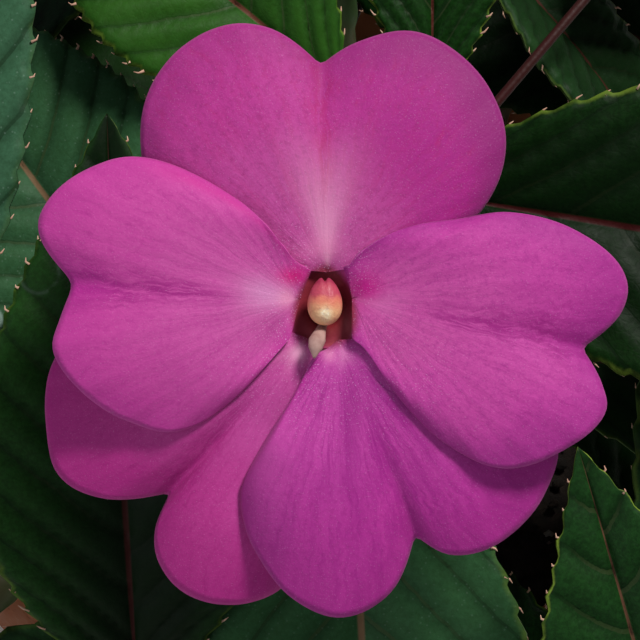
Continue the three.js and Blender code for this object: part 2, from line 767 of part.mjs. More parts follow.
function makeLeafyStem(stem) {
  const points = [stem.foot, stem.collar];
  const radii = [stemFootRadius - 0.05, stemFootRadius - 0.05];
  for (let i = 1; i <= stemSteps; i += 1) {
    points.push(stemPoint(stem, i / stemSteps));
    radii.push(stemRadiusAt(i / stemSteps));
  }
  const pieces = [rod(points, radii, 6)];
  for (const frame of bloomFrames) {
    if (frame.shoot === stem.index) pieces.push(rod(pedicelPoints(frame), [1.5, 1, 0.9, 1], 5));
  }
  for (const bud of budPlaces) {
    if (bud.shoot === stem.index) pieces.push(rod(budStalk(bud), [1.5, 1, 0.9, 0.9], 5));
  }
  for (const leaf of leaves) {
    if (leaf.shoot === stem.index) pieces.push(makeLeaf(leaf));
  }
  return join(pieces);
}

const plant = new THREE.Group();
plant.add(namedMesh('pot', makePot(), material(colours.clay, 0.85)));
plant.add(namedMesh('soil', makeSoil(), material(colours.soil, 0.95)));
for (const stem of stems) {
  plant.add(namedMesh(`leafy_stem_${stem.name}`, makeLeafyStem(stem), material(colours.leaf, 0.45)));
}
bloomFrames.forEach((frame, i) => {
  const name = `bloom_${shoots[blooms[i].shoot].name}`;
  plant.add(namedMesh(`${name}_petals`, makePetals(frame), material(colours.petal, 0.6)));
  plant.add(namedMesh(`${name}_spurred_sepal`, makeSepal(frame), material(colours.sepal, 0.5)));
  plant.add(namedMesh(`${name}_column`, makeColumn(frame), material(colours.column, 0.4)));
});
budPlaces.forEach((bud, i) => {
  plant.add(namedMesh(`bud_${i + 1}`, makeBud(bud), material(colours.bud, 0.5)));
});

export default plant;
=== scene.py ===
import math

import bmesh
import bpy
import numpy as np
from mathutils import Matrix, Vector


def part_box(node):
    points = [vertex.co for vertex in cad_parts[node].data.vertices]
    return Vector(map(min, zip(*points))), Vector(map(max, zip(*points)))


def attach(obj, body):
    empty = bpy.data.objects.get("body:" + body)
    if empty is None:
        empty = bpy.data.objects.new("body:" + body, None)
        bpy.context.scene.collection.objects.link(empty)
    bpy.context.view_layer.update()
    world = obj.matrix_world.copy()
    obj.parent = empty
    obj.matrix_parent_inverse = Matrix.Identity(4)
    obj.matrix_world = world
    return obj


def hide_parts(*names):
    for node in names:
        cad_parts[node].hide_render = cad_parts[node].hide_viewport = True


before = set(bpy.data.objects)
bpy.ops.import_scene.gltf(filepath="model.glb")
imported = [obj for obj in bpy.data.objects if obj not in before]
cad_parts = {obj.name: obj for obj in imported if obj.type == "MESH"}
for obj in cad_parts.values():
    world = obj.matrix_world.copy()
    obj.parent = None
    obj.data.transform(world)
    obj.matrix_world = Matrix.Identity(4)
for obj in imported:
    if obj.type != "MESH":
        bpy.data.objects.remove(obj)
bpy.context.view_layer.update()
print("frame loaded")

mm = 0.001  # the dictionaries below are in millimetres


def table(keys, *rows):
    # One dictionary for each row
    return [dict(zip(keys.split(), row)) for row in rows]


# Where things stand

pot = {
    "height": 108, "rimRadius": 68, "footRadius": 46, "wall": 5.5, "collarHeight": 24, "collarProud": 3.5,
    "floor": 7, "drainRadius": 5, "drainRing": 24, "drainHoles": 3, "around": 128,
}
soil = {"belowRim": 11, "rootDepth": 24, "gap": 0.3, "crumbs": 420, "around": 120}
soilTop = pot["height"] - soil["belowRim"]

plant = {
    "domeCentre": (0, 0, 112), "stemRing": 27, "stemFoot": 4.6, "stemTip": 2.5, "turn": 137.5,
    "levels": 9, "topLevel": 0.97, "levelStep": 0.068, "bloomLift": 45,
    "leafLength": 92, "leafWidth": 33, "petioleRadius": 1.25, "petioleLength": 20, "petioleRise": 0.06,
}
shoots = table(
    "name bearing height reach leaves turn",
    ("front", -90, 57, 92, 4, 20),
    ("front_right", -68, 10, 116, 7, 200),
    ("right", 2, 38, 96, 8, 75),
    ("front_left", -121, 25.5, 108, 7, 130),
    ("back_left", 165, 30, 98, 8, 310),
    ("back", 104, 34, 98, 9, 250),
    ("back_right", 48, 22, 102, 7, 10),
    ("top", 84, 72, 94, 9, 170),
)
blooms = table(
    "shoot lean aside size turn mirror",
    (0, 0, 0, 1, 0, 1),
    (1, 6, -8, 0.9, -14, -1),
    (2, 10, 6, 0.94, 10, 1),
    (4, 14, 0, 0.9, 8, -1),
    (5, 8, -6, 0.96, -8, 1),
    (7, -4, 10, 0.92, 24, -1),
)
buds = table(
    "shoot side along lift",
    (3, -20, 2, 28),
    (6, -14, 8, 33),
    (6, 12, -10, 25),
    (7, -20, 18, 24),
    (2, 22, -12, 26),
)

# Leaves round the front bloom, in its own frame: x right, y up, z towards the viewer. A tone says how light, how
# blue-grey with a painted sheen, how red in its midrib, how yellow on its rim and how much painted shade darkens the
# leaf.
framingLeaves = table(
    "shoot at base tip width bend tone",
    (0, 0.99, (11, 13.5, -34), (105, -2, -46), 39, 0, (0.12, 0.0, 1.0, 0.45, 0.87)),
    (0, 0.97, (3, -9, -34), (8, -104, -58), 42, 0, (0.36, 0.55, 0.1, 0.35, 0.0)),
    (0, 0.93, (-20, -7, -46), (-56, 41, -58), 35, 0, (0.42, 0.75, 0.1, 0.15, 0.0)),
    (0, 0.96, (2, 27, -42), (-40, 61, -48), 29, 0, (0.6, 0.0, 0.8, 0.45, 0.0)),
    (0, 0.9, (14, 26, -50), (14, 84, -58), 20, 0, (0.12, 0.0, 0.9, 0.9, 0.3)),
    (0, 0.8, (40, 46, -62), (72, 104, -88), 32, 2, (0.0, 0.0, 1.0, 0.2, 0.85)),
    (1, 0.97, (50, -85, -40), (29.4, -16.8, -15), 34, 0, (0.13, 0.1, 0.5, 0.9, 0.25)),
    (1, 0.9, (34, -96, -72), (12, -24, -64), 32, 2, (0.0, 0.0, 0.6, 0.2, 0.7)),
    (2, 0.93, (60, 32, -96), (-6, 56, -104), 34, 2, (0.0, 0.0, 0.8, 0.2, 0.8)),
    # painted shadow of the front bloom over this leaf's right half
    (3, 0.98, (-23, -48, -36), (-25.5, 22.2, -20), 35, 0, (0.22, 0.05, 0.9, 0.25, (0.05, 0.97))),
    (3, 0.95, (-62, -28, -27), (-43, 84, -31), 34, 2, (0.2, 1.0, 0.3, 0.08, 0.0)),
)


def direction(bearing, height):
    turn, lift = math.radians(bearing), math.radians(height)
    return np.array([math.cos(lift) * math.cos(turn), math.cos(lift) * math.sin(turn), math.sin(lift)])


def unit(vector):
    return vector / np.sqrt((vector * vector).sum())


def bezier(a, b, c, t):
    return a * (1 - t) ** 2 + b * 2 * t * (1 - t) + c * t * t


upward = np.array([0.0, 0.0, 1.0])
domeCentre = np.array(plant["domeCentre"], float)
drawState = 20611


def draw():
    # One seeded draw after another, from 0 to 1
    global drawState
    drawState = (drawState * 1664525 + 1013904223) % 4294967296
    return drawState / 4294967296


def stemPath(index, shoot):
    tip = domeCentre + direction(shoot["bearing"], shoot["height"]) * shoot["reach"]
    ring = 3 if shoot["height"] > 70 else plant["stemRing"]
    x, y = (direction(shoot["bearing"], 0) * ring)[:2]
    low = soilTop + 3
    return {
        "index": index, "name": shoot["name"], "foot": np.array([x, y, soilTop - soil["rootDepth"] + soil["gap"]]),
        "collar": np.array([x, y, low]), "knee": np.array([x, y, low + 0.62 * (tip[2] - soilTop)]), "tip": tip,
    }


def stemPoint(stem, t):
    return bezier(stem["collar"], stem["knee"], stem["tip"], t)


def stemAlong(stem, t):
    return unit(stemPoint(stem, min(t + 0.02, 1)) - stemPoint(stem, t - 0.02))


def stemRadius(t):
    return plant["stemFoot"] + (plant["stemTip"] - plant["stemFoot"]) * t


def leafLevel(level):
    return plant["topLevel"] - plant["levelStep"] * level


stems = [stemPath(i, shoot) for i, shoot in enumerate(shoots)]


def turned(vector, axis, degrees):
    angle = math.radians(degrees)
    return vector * math.cos(angle) + np.cross(axis, vector) * math.sin(angle)


def axes(bearing, height):
    facing = direction(bearing, height)
    right = unit(np.cross(upward, facing))
    return facing, right, np.cross(facing, right)


def bloomPlace(bloom):
    shoot = shoots[bloom["shoot"]]
    facing, right, up = axes(shoot["bearing"] + bloom["aside"], shoot["height"] + bloom["lean"])
    return {
        **bloom, "name": shoot["name"], "facing": facing, "up": turned(up, facing, bloom["turn"]),
        "right": turned(right, facing, bloom["turn"]) * bloom["mirror"],
        "centre": stems[bloom["shoot"]]["tip"] + facing * plant["bloomLift"] * bloom["size"],
    }


def budPlace(bud):
    shoot = shoots[bud["shoot"]]
    facing, right, up = axes(shoot["bearing"], shoot["height"])
    centre = stems[bud["shoot"]]["tip"] + right * bud["side"] + up * bud["along"] + facing * bud["lift"]
    return {**bud, "size": 1, "facing": facing, "right": right, "up": up, "centre": centre}


def placePoint(place, x, y, z):
    # From a bloom's or bud's own millimetres to the plant's; x, y and z may be arrays
    x, y, z = [np.asarray(value, float)[..., None] * place["size"] for value in (x, y, z)]
    return place["centre"] + x * place["right"] + y * place["up"] + z * place["facing"]


def placePoints(place, spots):
    return [placePoint(place, *spot) for spot in spots]


places = [bloomPlace(bloom) for bloom in blooms]
budPlaces = [budPlace(bud) for bud in buds]
front = places[0]
cupMouth, cupBack = -3.4 - soil["gap"], -12


def spurPoints(place):
    path = [(0, -1.2, 2), (0, -4, -5), (1.5, -12, -9), (3.5, -20, -8), (5.5, -26, -3), (7, -28.5, 5)]
    return placePoints(place, [(x, y, cupBack + z) for x, y, z in path])


def budCurl(bud):
    return placePoints(bud, [(0, -3, -5), (0, -9, -7), (0, -15, -5), (0, -19, 0)])


def pedicelPoints(place, steps=(0, 0.35, 0.7, 1)):
    start = stemPoint(stems[place["shoot"]], 0.985)
    end = placePoint(place, 0, 1.9, cupBack - 0.5 - soil["gap"])
    knee = (start + end) / 2 + place["up"] * 3.5 * place["size"]
    return [bezier(start, knee, end, t) for t in steps]


def budStalk(bud, steps=(0, 0.35, 0.7, 1)):
    start = stemPoint(stems[bud["shoot"]], 0.97)
    end = bud["centre"] + bud["facing"] * (-8 - soil["gap"])
    knee = end - bud["facing"] * 14
    return [bezier(start, knee, end, t) for t in steps]


# Leaves: a base, a tip, an upward side, an arch, and an outline of half widths


def leafOutline(s):
    return np.sin(np.pi * np.clip(s, 0, 1) ** 0.82) ** 0.9 * (1 - 0.22 * s**4)


def leafPoint(leaf, s, t):
    # s runs from the base to the tip, t from margin to margin as -1 to 1
    s, t = np.asarray(s, float), np.asarray(t, float)
    half = leaf["width"] / 2 * leafOutline(s)
    rise = leaf["arch"] * 4 * s * (1 - s) + 0.16 * np.abs(t) * half
    aside = leaf["bend"] * 4 * s * (1 - s) + t * half
    line = leaf["base"] + s[..., None] * (leaf["tip"] - leaf["base"])
    return line + rise[..., None] * leaf["up"] + aside[..., None] * leaf["side"]


def finishLeaf(leaf, normal):
    along = leaf["tip"] - leaf["base"]
    leaf["length"] = math.sqrt((along * along).sum())
    along = along / leaf["length"]
    leaf["up"] = unit(normal - along * np.dot(normal, along))
    leaf["side"] = np.cross(along, leaf["up"])
    leaf["arch"] = leaf["lift"] * leaf["length"]
    return leaf


def petioleAt(leaf, t):
    knee = (leaf["start"] + leaf["base"]) / 2 + leaf["up"] * plant["petioleRise"] * leaf["length"]
    return bezier(leaf["start"], knee, leafPoint(leaf, 0.05, 0), t)


# The room that a new leaf keeps: round other things, the pot and the blooms
room = {
    "leaf": 6.4, "pot": 5, "lowest": 34, "behindBloom": 9, "roundBloom": 36, "beforeBloom": 70,
    "stalk": 0.95, "spur": 1.2, "bud": 8, "budCurl": 3,
}
# What is tried in turn until a leaf fits
tries = {
    "sizes": (1, 0.84, 0.7, 0.58), "lifts": (0, -12, 12, -24, 24),
    "turns": (0, 22, -22, 44, -44, 68, -68, 94, -94, 122, -122, 150, -150, 180),
}
takenPoints, takenRadii, takenOwners = np.zeros((0, 3)), np.zeros(0), np.zeros(0)


def leafSpots(leaf):
    s, t = np.meshgrid(0.06 + 0.94 * np.arange(15) / 14, [-1, -0.5, 0, 0.5, 1], indexing="ij")
    blade = leafPoint(leaf, s.ravel(), t.ravel())
    stalk = [petioleAt(leaf, share) for share in (0.25, 0.45, 0.65, 0.85)]
    return np.vstack([blade, stalk]), np.array([0.0] * len(blade) + [plant["petioleRadius"]] * len(stalk))


def take(points, radii, owner):
    global takenPoints, takenRadii, takenOwners
    points = np.asarray(points, float)
    takenPoints = np.vstack([takenPoints, points])
    takenRadii = np.append(takenRadii, np.ones(len(points)) * radii)
    takenOwners = np.append(takenOwners, np.full(len(points), owner))


def takeRod(points, radius, owner):
    spots = [a + (b - a) * t for a, b in zip(points, points[1:]) for t in (0, 0.33, 0.67)]
    take(spots + [points[-1]], radius, owner)


def fits(leaf):
    points, radii = leafSpots(leaf)
    aside = np.hypot(points[:, 0], points[:, 1])
    low = points[:, 2] <= pot["height"] + room["pot"]
    if np.any(low & ((points[:, 2] <= room["lowest"]) | (aside <= pot["rimRadius"] + room["pot"]))):
        return False
    for place in places:
        reach = points - place["centre"]
        depth = reach @ place["facing"]
        aside = np.hypot(reach @ place["right"], reach @ place["up"])
        level = (depth >= -room["behindBloom"] * place["size"]) & (depth <= room["beforeBloom"])
        if np.any(level & (aside <= room["roundBloom"] * place["size"])):
            return False
    margin = room["leaf"] + plant["petioleRadius"] + room["bud"]
    near = np.all((takenPoints > points.min(0) - margin) & (takenPoints < points.max(0) + margin), axis=1)
    others, otherRadii, otherOwners = takenPoints[near], takenRadii[near], takenOwners[near]
    gaps = np.sqrt(((points[:, None] - others[None]) ** 2).sum(2))
    close = gaps <= room["leaf"] + radii[:, None] + otherRadii[None]
    joined = (otherOwners == leaf["shoot"])[None] & ((radii > 0)[:, None] | (otherRadii > 0)[None])
    return not np.any(close & ~joined)


# How a leaf leaves its stem: the shares that make up its normal, then its tilt in degrees, droop and arch
leafRule = {
    "outwards": 0.45, "along": 0.3, "upwards": 0.6, "rise": 0.45, "tilt": -10, "tiltStep": 2.2, "droop": 0.1,
    "arch": 0.11, "bend": 5,
}


def ruleLeaf(shoot, stem, level, size, liftTurn, azimuthTurn, chance):
    t = leafLevel(level)
    start = stemPoint(stem, t)
    outwards, along = unit(start - domeCentre) * leafRule["outwards"], stemAlong(stem, t) * leafRule["along"]
    normal = unit(outwards + along + upward * leafRule["upwards"])
    sideways = unit(np.cross(upward, normal))
    uphill = np.cross(normal, sideways)
    azimuth = math.radians(shoot["turn"] + plant["turn"] * level + azimuthTurn)
    heading = sideways * math.sin(azimuth) - uphill * math.cos(azimuth)
    stalk = plant["petioleLength"] * (0.8 + 0.5 * chance[0])
    base = start + heading * stalk + normal * leafRule["rise"] * stalk
    tilt = math.radians(leafRule["tilt"] - leafRule["tiltStep"] * level + liftTurn)
    length = plant["leafLength"] * size * (0.92 + 0.14 * chance[1])
    tip = base + heading * length * math.cos(tilt) + normal * length * math.sin(tilt)
    tip[2] -= leafRule["droop"] * length
    return finishLeaf({
        "shoot": stem["index"], "start": start, "base": base, "tip": tip, "framing": False,
        "lift": leafRule["arch"], "bend": leafRule["bend"] * (chance[3] - 0.5),
        "width": plant["leafWidth"] * size * (0.94 + 0.12 * chance[2]),
    }, normal)


def firstClear(shoot, stem, level):
    chance = [draw(), draw(), draw(), draw()]
    for size in tries["sizes"]:
        for lift in tries["lifts"]:
            for turn in tries["turns"]:
                leaf = ruleLeaf(shoot, stem, level, size, lift, turn, chance)
                if fits(leaf):
                    return leaf
    return None


def placeLeaves():
    shares = [i / 20 for i in range(21)]
    for stem in stems:
        take([stemPoint(stem, t) for t in shares], np.array([stemRadius(t) for t in shares]), stem["index"])
    for place in places:
        takeRod(pedicelPoints(place), room["stalk"], place["shoot"])
        takeRod(spurPoints(place), room["spur"], -1)
    for bud in budPlaces:
        takeRod(budStalk(bud), room["stalk"], bud["shoot"])
        take([bud["centre"]], room["bud"], -1)
        takeRod(budCurl(bud), room["budCurl"], -1)
    leaves = []
    for framing in framingLeaves:
        leaves.append(finishLeaf({
            **framing, "start": stemPoint(stems[framing["shoot"]], framing["at"]), "framing": True, "lift": 0.07,
            "base": placePoint(front, *framing["base"]), "tip": placePoint(front, *framing["tip"]),
        }, front["facing"]))
        take(*leafSpots(leaves[-1]), framing["shoot"])
    for level in range(plant["levels"]):
        for i, shoot in enumerate(shoots):
            if level >= shoot["leaves"]:
                continue
            # the front shoot's first four levels are among the leaves placed above
            leaf = firstClear(shoot, stems[i], level + 4 if shoot["name"] == "front" else level)
            if leaf is not None:
                take(*leafSpots(leaf), leaf["shoot"])
                leaves.append(leaf)
    return leaves


leaves = placeLeaves()
print("leaves placed:", len(leaves))

# Materials

tree = None  # the nodes of the material that is being made


def newMaterial(name):
    global tree
    material = bpy.data.materials.new(name)
    material.use_nodes = True
    tree = material.node_tree
    return material


def feed(value, socket):
    if isinstance(value, bpy.types.NodeSocket):
        tree.links.new(value, socket)
    elif isinstance(value, tuple) and len(value) == 3 and len(socket.default_value) == 4:
        socket.default_value = (*value, 1)
    else:
        socket.default_value = value


def node(kind, inputs, output=0, **settings):
    made = tree.nodes.new("ShaderNode" + kind)
    for name, value in settings.items():
        setattr(made, name, value)
    for key, value in inputs.items():
        feed(value, made.inputs[key])
    return made.outputs[output]


def calc(operation, *values, clamp=False):
    return node("Math", dict(enumerate(values)), operation=operation, use_clamp=clamp)


def times(first, *others, clamp=False):
    for other in others:
        first = calc("MULTIPLY", first, other, clamp=clamp)
    return first


def scaled(value, factor, offset):
    return calc("MULTIPLY_ADD", value, factor, offset)


def painted(colour, *coats):
    # Each coat is the share that it covers and its colour
    for share, over in coats:
        colour = node("Mix", {0: share, 6: colour, 7: over}, 2, data_type="RGBA")
    return colour


def spread(*limits):
    # A value between two limits, smoothly spread from 0 to 1 or over the two numbers after them
    return node("MapRange", dict(enumerate(limits)), interpolation_type="SMOOTHSTEP")


def stretched(place, scales):
    return node("Mapping", {"Vector": place, "Scale": scales}, "Vector") if scales else place


def grain(place, scale, detail=2.0, roughness=0.5, stretch=None):
    place = stretched(place, stretch)
    return node("TexNoise", {"Vector": place, "Scale": scale, "Detail": detail, "Roughness": roughness}, "Fac")


def cells(place, scale, feature="F1", stretch=None):
    return node("TexVoronoi", {"Vector": stretched(place, stretch), "Scale": scale}, "Distance", feature=feature)


def swayed(place, scale, amount):
    # The same places, each pushed a little aside
    noise = node("TexNoise", {"Vector": place, "Scale": scale}, "Color")
    return node("VectorMath", {0: noise, 1: (amount, amount, amount), 2: place}, operation="MULTIPLY_ADD")


def ownMap(name):
    # A map's place, and its two shares
    place = node("UVMap", {}, "UV", uv_map=name)
    split = node("SeparateXYZ", {0: place}).node.outputs
    return place, split[0], split[1]


def ownValue(name):
    return node("Attribute", {}, "Fac", attribute_name=name)


def objectPlace():
    return node("TexCoord", {}, "Object")


def hill(value, centre, width):
    # 1 at the centre and falling to 0 on both sides
    away = calc("DIVIDE", calc("SUBTRACT", value, centre), width)
    return calc("EXPONENT", times(away, away, -1.0))


def dress(material, colour, rough, specular, *reliefs, sheen=0.0):
    # Each relief is a height, a depth in metres and a strength
    skin = tree.nodes["Principled BSDF"].inputs
    feed(colour, skin["Base Color"])
    feed(rough, skin["Roughness"])
    feed(specular, skin["Specular IOR Level"])
    feed(sheen, skin["Sheen Weight"])
    under = {}
    for height, depth, strength in reliefs:
        bump = node("Bump", {"Height": height, "Distance": depth, "Strength": strength, **under}, "Normal")
        under = {"Normal": bump}
    for name, normal in under.items():
        feed(normal, skin[name])
    return material


petalLooks = {
    "standard": {
        "inner": (0.49, 0.075, 0.31), "outer": (0.43, 0.034, 0.25), "edge": (0.24, 0.020, 0.15),
        "pale": (0.80, 0.34, 0.55), "paleWidth": 0.2, "paleEnd": 0.7, "line": (0.38, 0.012, 0.12),
        "lineWidth": 0.05, "lineShare": 0.55, "veins": 0.26, "bands": 0.15, "shadedLobe": -1.0, "lobeShade": 0.9,
    },
    "leftWing": {
        "inner": (0.54, 0.090, 0.34), "outer": (0.52, 0.058, 0.31), "edge": (0.43, 0.032, 0.26),
        "pale": (0.64, 0.23, 0.46), "paleWidth": 0.35, "paleEnd": 0.34, "line": (0.29, 0.010, 0.18),
        "lineWidth": 0.09, "lineShare": 0.8, "veins": 0.22, "bands": 0.14, "shadedLobe": 1.0, "lobeShade": 0.1,
        "band": 0.4,
    },
    "rightWing": {
        "inner": (0.52, 0.076, 0.32), "outer": (0.47, 0.046, 0.30), "edge": (0.28, 0.018, 0.20),
        "pale": (0.56, 0.14, 0.38), "paleWidth": 0.25, "paleEnd": 0.26, "line": (0.27, 0.010, 0.17),
        "lineWidth": 0.09, "lineShare": 0.8, "veins": 0.26, "bands": 0.15, "shadedLobe": 1.0, "lobeShade": 0.1,
    },
    "lowerLeft": {
        "inner": (0.54, 0.080, 0.33), "outer": (0.46, 0.030, 0.24), "edge": (0.36, 0.018, 0.19),
        "pale": (0.62, 0.20, 0.40), "paleWidth": 0.3, "paleEnd": 0.2, "line": (0.30, 0.006, 0.15),
        "lineWidth": 0.1, "lineShare": 0.6, "veins": 0.24, "bands": 0.2, "shadedLobe": -1.0, "lobeShade": 0.1,
    },
    "lowerRight": {
        "inner": (0.48, 0.056, 0.33), "outer": (0.45, 0.034, 0.29), "edge": (0.30, 0.018, 0.19),
        "pale": (0.60, 0.18, 0.42), "paleWidth": 0.3, "paleEnd": 0.14, "line": (0.25, 0.006, 0.18),
        "lineWidth": 0.24, "lineShare": 0.45, "veins": 0.55, "bands": 0.7, "shadedLobe": -1.0, "lobeShade": 0.05,
    },
}
throat = {"x": 0.1, "y": -0.7, "halfWidth": 3.3, "halfHeight": 4.3, "funnel": 0.4, "maroon": (0.24, 0.026, 0.062)}
# Patches of colour beside the throat
patches = table(
    "at size share colour",
    ((-0.2, 5.6), (2.3, 1.5), 0.6, (0.70, 0.20, 0.42)),
    ((-3.4, 2.6), (1.7, 1.0), 1.0, (0.60, 0.010, 0.20)),
    ((4.6, 1.4), (1.9, 1.7), 0.95, (0.45, 0.010, 0.21)),
    ((-4.2, 0.3), (1.0, 1.1), 0.7, (0.72, 0.25, 0.42)),
    ((-6.4, 0.9), (2.6, 1.6), 0.35, (0.62, 0.30, 0.56)),
    ((3.2, -11.5), (1.1, 5.0), 0.5, (0.24, 0.010, 0.17)),
    ((-6.4, -15.5), (3.2, 6.5), 0.45, (0.56, 0.085, 0.37)),
    ((-2.8, -5.9), (0.9, 0.9), 0.8, (0.76, 0.34, 0.54)),
    ((0.6, -6.0), (0.8, 0.9), 0.7, (0.68, 0.22, 0.44)),
)


def throatDistance(faceX, faceY):
    # 1 on the throat's oval edge; the map holds a bloom's millimetres as hundredths about 0.5
    y = calc("DIVIDE", calc("ADD", faceY, -0.5 - throat["y"] / 100), throat["halfHeight"] / 100)
    half = throat["halfWidth"] / 100
    wide = scaled(calc("MINIMUM", y, 1.0), -0.28 * half, 0.97 * half)
    x = calc("DIVIDE", calc("ADD", faceX, -0.5 - throat["x"] / 100), wide)
    return calc("SQRT", calc("ADD", times(x, x), times(y, y)))


def petalMaterial(name, look):
    material = newMaterial(name + "Petal")
    ownPlace, across, share = ownMap("petal")
    faceX, faceY = ownMap("face")[1:]
    spot = objectPlace()
    side = scaled(across, 2.0, -1.0)
    bent = swayed(ownPlace, 11.0, 0.035)
    mottle, cloud = grain(spot, 1500.0, 5.0, 0.75), grain(spot, 130.0, 3.0)
    drift = scaled(cloud, 0.6, -0.3)
    outwards = calc("ADD", share, drift)
    # painted shade on the lobe that turns from the light, strongest on the standard's right lobe
    lobe = times(spread(times(side, look["shadedLobe"]), -0.05, 0.35), spread(share, 0.25, 0.6))
    darker = tuple(channel * factor for channel, factor in zip(look["outer"], (0.78, 0.46, 0.80)))
    # fine veins run from the claw and wander; a faint net joins them
    rays = grain(bent, 1.0, 5.0, 0.62, (70, 3.6, 1))
    fromClaw = spread(share, 0.05, 0.22)
    veins = times(spread(rays, 0.48, 0.66), spread(share, 0.1, 0.9, 1.0, 0.55), fromClaw)
    bands = times(spread(grain(bent, 1.0, 3.0, 0.6, (13, 1.4, 1)), 0.45, 0.68),
                  spread(share, 0.1, 1.0, 1.0, 0.2), fromClaw)
    net = cells(bent, 1.0, "DISTANCE_TO_EDGE", (62, 30, 1))
    net = times(spread(net, 0.0, 0.14, 1.0, 0.0), spread(mottle, 0.4, 0.6))
    creased = times(spread(grain(bent, 1.0, 5.0, 0.7, (44, 9, 1)), 0.54, 0.66), spread(outwards, 0.5, 0.85))
    # the crease that runs to the notch, broken up along the veins
    wander = scaled(grain(ownPlace, 1.0, stretch=(2, 5, 1)), 0.2, -0.1)
    crease = times(hill(calc("ADD", side, wander), 0.0, look["lineWidth"]), spread(share, 0.15, 0.5),
                   spread(grain(bent, 1.0, 4.0, 0.7, (80, 6, 1)), 0.36, 0.58))
    pale = times(hill(side, 0.0, look["paleWidth"]), spread(share, 0.06, look["paleEnd"], 1.0, 0.0))
    pale = times(pale, scaled(rays, 0.7, 0.5), clamp=True)
    colour = painted(
        look["inner"],
        (spread(outwards, 0.05, 0.95), look["outer"]),
        (times(lobe, look["lobeShade"]), darker),
        (times(veins, look["veins"]), look["line"]),
        (times(bands, look["bands"]), look["line"]),
        (times(net, 0.12), look["line"]),
        (times(creased, 0.34), look["line"]),
        (spread(mottle, 0.44, 0.70, 0.0, 0.42), look["edge"]),
        (times(crease, look["lineShare"]), look["line"]),
        (times(pale, 0.9), look["pale"]),
    )
    if look.get("band"):
        # a crimson band inside the upper edge, a wedge of magenta at the notch
        along = times(hill(share, 0.9, 0.08), spread(side, -0.6, -0.42, 1.0, 0.0), look["band"])
        wedge = times(hill(side, 0.0, 0.07), spread(share, 0.72, 0.98), 0.6)
        colour = painted(colour, (along, (0.58, 0.028, 0.24)), (wedge, (0.36, 0.010, 0.24)))
    # darker, bluer edges with a very thin pale rim; the darkening is partly their own colour and partly painted
    # shade where the margins turn from the light, most on the shaded lobe
    edge = spread(calc("ADD", share, times(drift, 0.4)), 0.74, 1.0)
    edge = times(edge, scaled(lobe, 0.45 * look["lobeShade"], 0.5), clamp=True)
    colour = painted(colour, (edge, look["edge"]), (spread(share, 0.988, 1.0, 0.0, 0.15), (0.66, 0.20, 0.45)))
    for patch in patches:
        x, y = [hill(axis, 0.5 + middle / 100, size / 100)
                for axis, middle, size in zip((faceX, faceY), patch["at"], patch["size"])]
        colour = painted(colour, (times(x, y, patch["share"]), patch["colour"]))
    # painted highlights: the cells of the skin catch the light as a fine glitter, strongest round the throat
    distance = throatDistance(faceX, faceY)
    throatGlitter = times(spread(distance, 1.2, 4.2, 1.0, 0.0), spread(cloud, 0.3, 0.6))
    glint = times(spread(grain(spot, 6800.0, 1.0), 0.60, 0.78), scaled(throatGlitter, 0.45, 0.13))
    colour = painted(colour, (spread(distance, 0.92, 1.24, 1.0, 0.0), throat["maroon"]), (glint, (0.80, 0.46, 0.76)))
    return dress(material, colour, scaled(mottle, 0.25, 0.45), 0.12, (times(rays, fromClaw, -1.0), 0.0002, 0.35),
                 (grain(spot, 3800.0), 0.00006, 0.6), sheen=0.03)


def throatMaterial():
    # Maroon inside, magenta where it meets the petals
    material = newMaterial("throatTube")
    spot = objectPlace()
    distance = scaled(grain(spot, 900.0, 3.0), 0.12, throatDistance(*ownMap("face")[1:]))
    colour = painted(
        (0.20, 0.017, 0.023),
        (spread(distance, 0.6, 1.15), (0.29, 0.030, 0.058)),
        (spread(distance, 1.04, 1.3), (0.60, 0.045, 0.30)),
    )
    return dress(material, colour, 0.5, 0.25, (grain(spot, 1500.0, 3.0), 0.0001, 0.6))


leafLook = {
    "blade": (0.007, 0.044, 0.006), "deep": (0.002, 0.016, 0.002), "young": (0.042, 0.150, 0.014),
    "blue": (0.046, 0.125, 0.074), "under": (0.055, 0.105, 0.040), "underDeep": (0.038, 0.075, 0.028),
    "grooveShade": (0.003, 0.012, 0.003), "vein": (0.07, 0.10, 0.035), "underVein": (0.13, 0.18, 0.08),
    "dot": (0.20, 0.30, 0.24), "dusk": (0.0006, 0.0050, 0.0006), "curl": (0.42, 0.55, 0.50),
    "rib": (0.19, 0.115, 0.062), "redRib": (0.085, 0.007, 0.010), "paintedShadeRib": (0.014, 0.002, 0.002),
    "margin": (0.20, 0.30, 0.035), "laterals": 10.0, "sweep": 0.25, "apart": 0.35,
    "varies": ("tone", "kind", "redness", "rim", "dusk"),
}


def veinPhase(across, along):
    # Counts the side veins from the base; they leave the midrib and sweep forward to the margin
    t = calc("ABSOLUTE", scaled(across, 2.0, -1.0))
    slant = scaled(calc("POWER", along, 3.0), -leafLook["sweep"], leafLook["sweep"])
    forward = calc("SUBTRACT", along, times(calc("POWER", t, 1.25), slant))
    apart = times(calc("GREATER_THAN", across, 0.5), leafLook["apart"])
    return t, scaled(forward, leafLook["laterals"], apart)


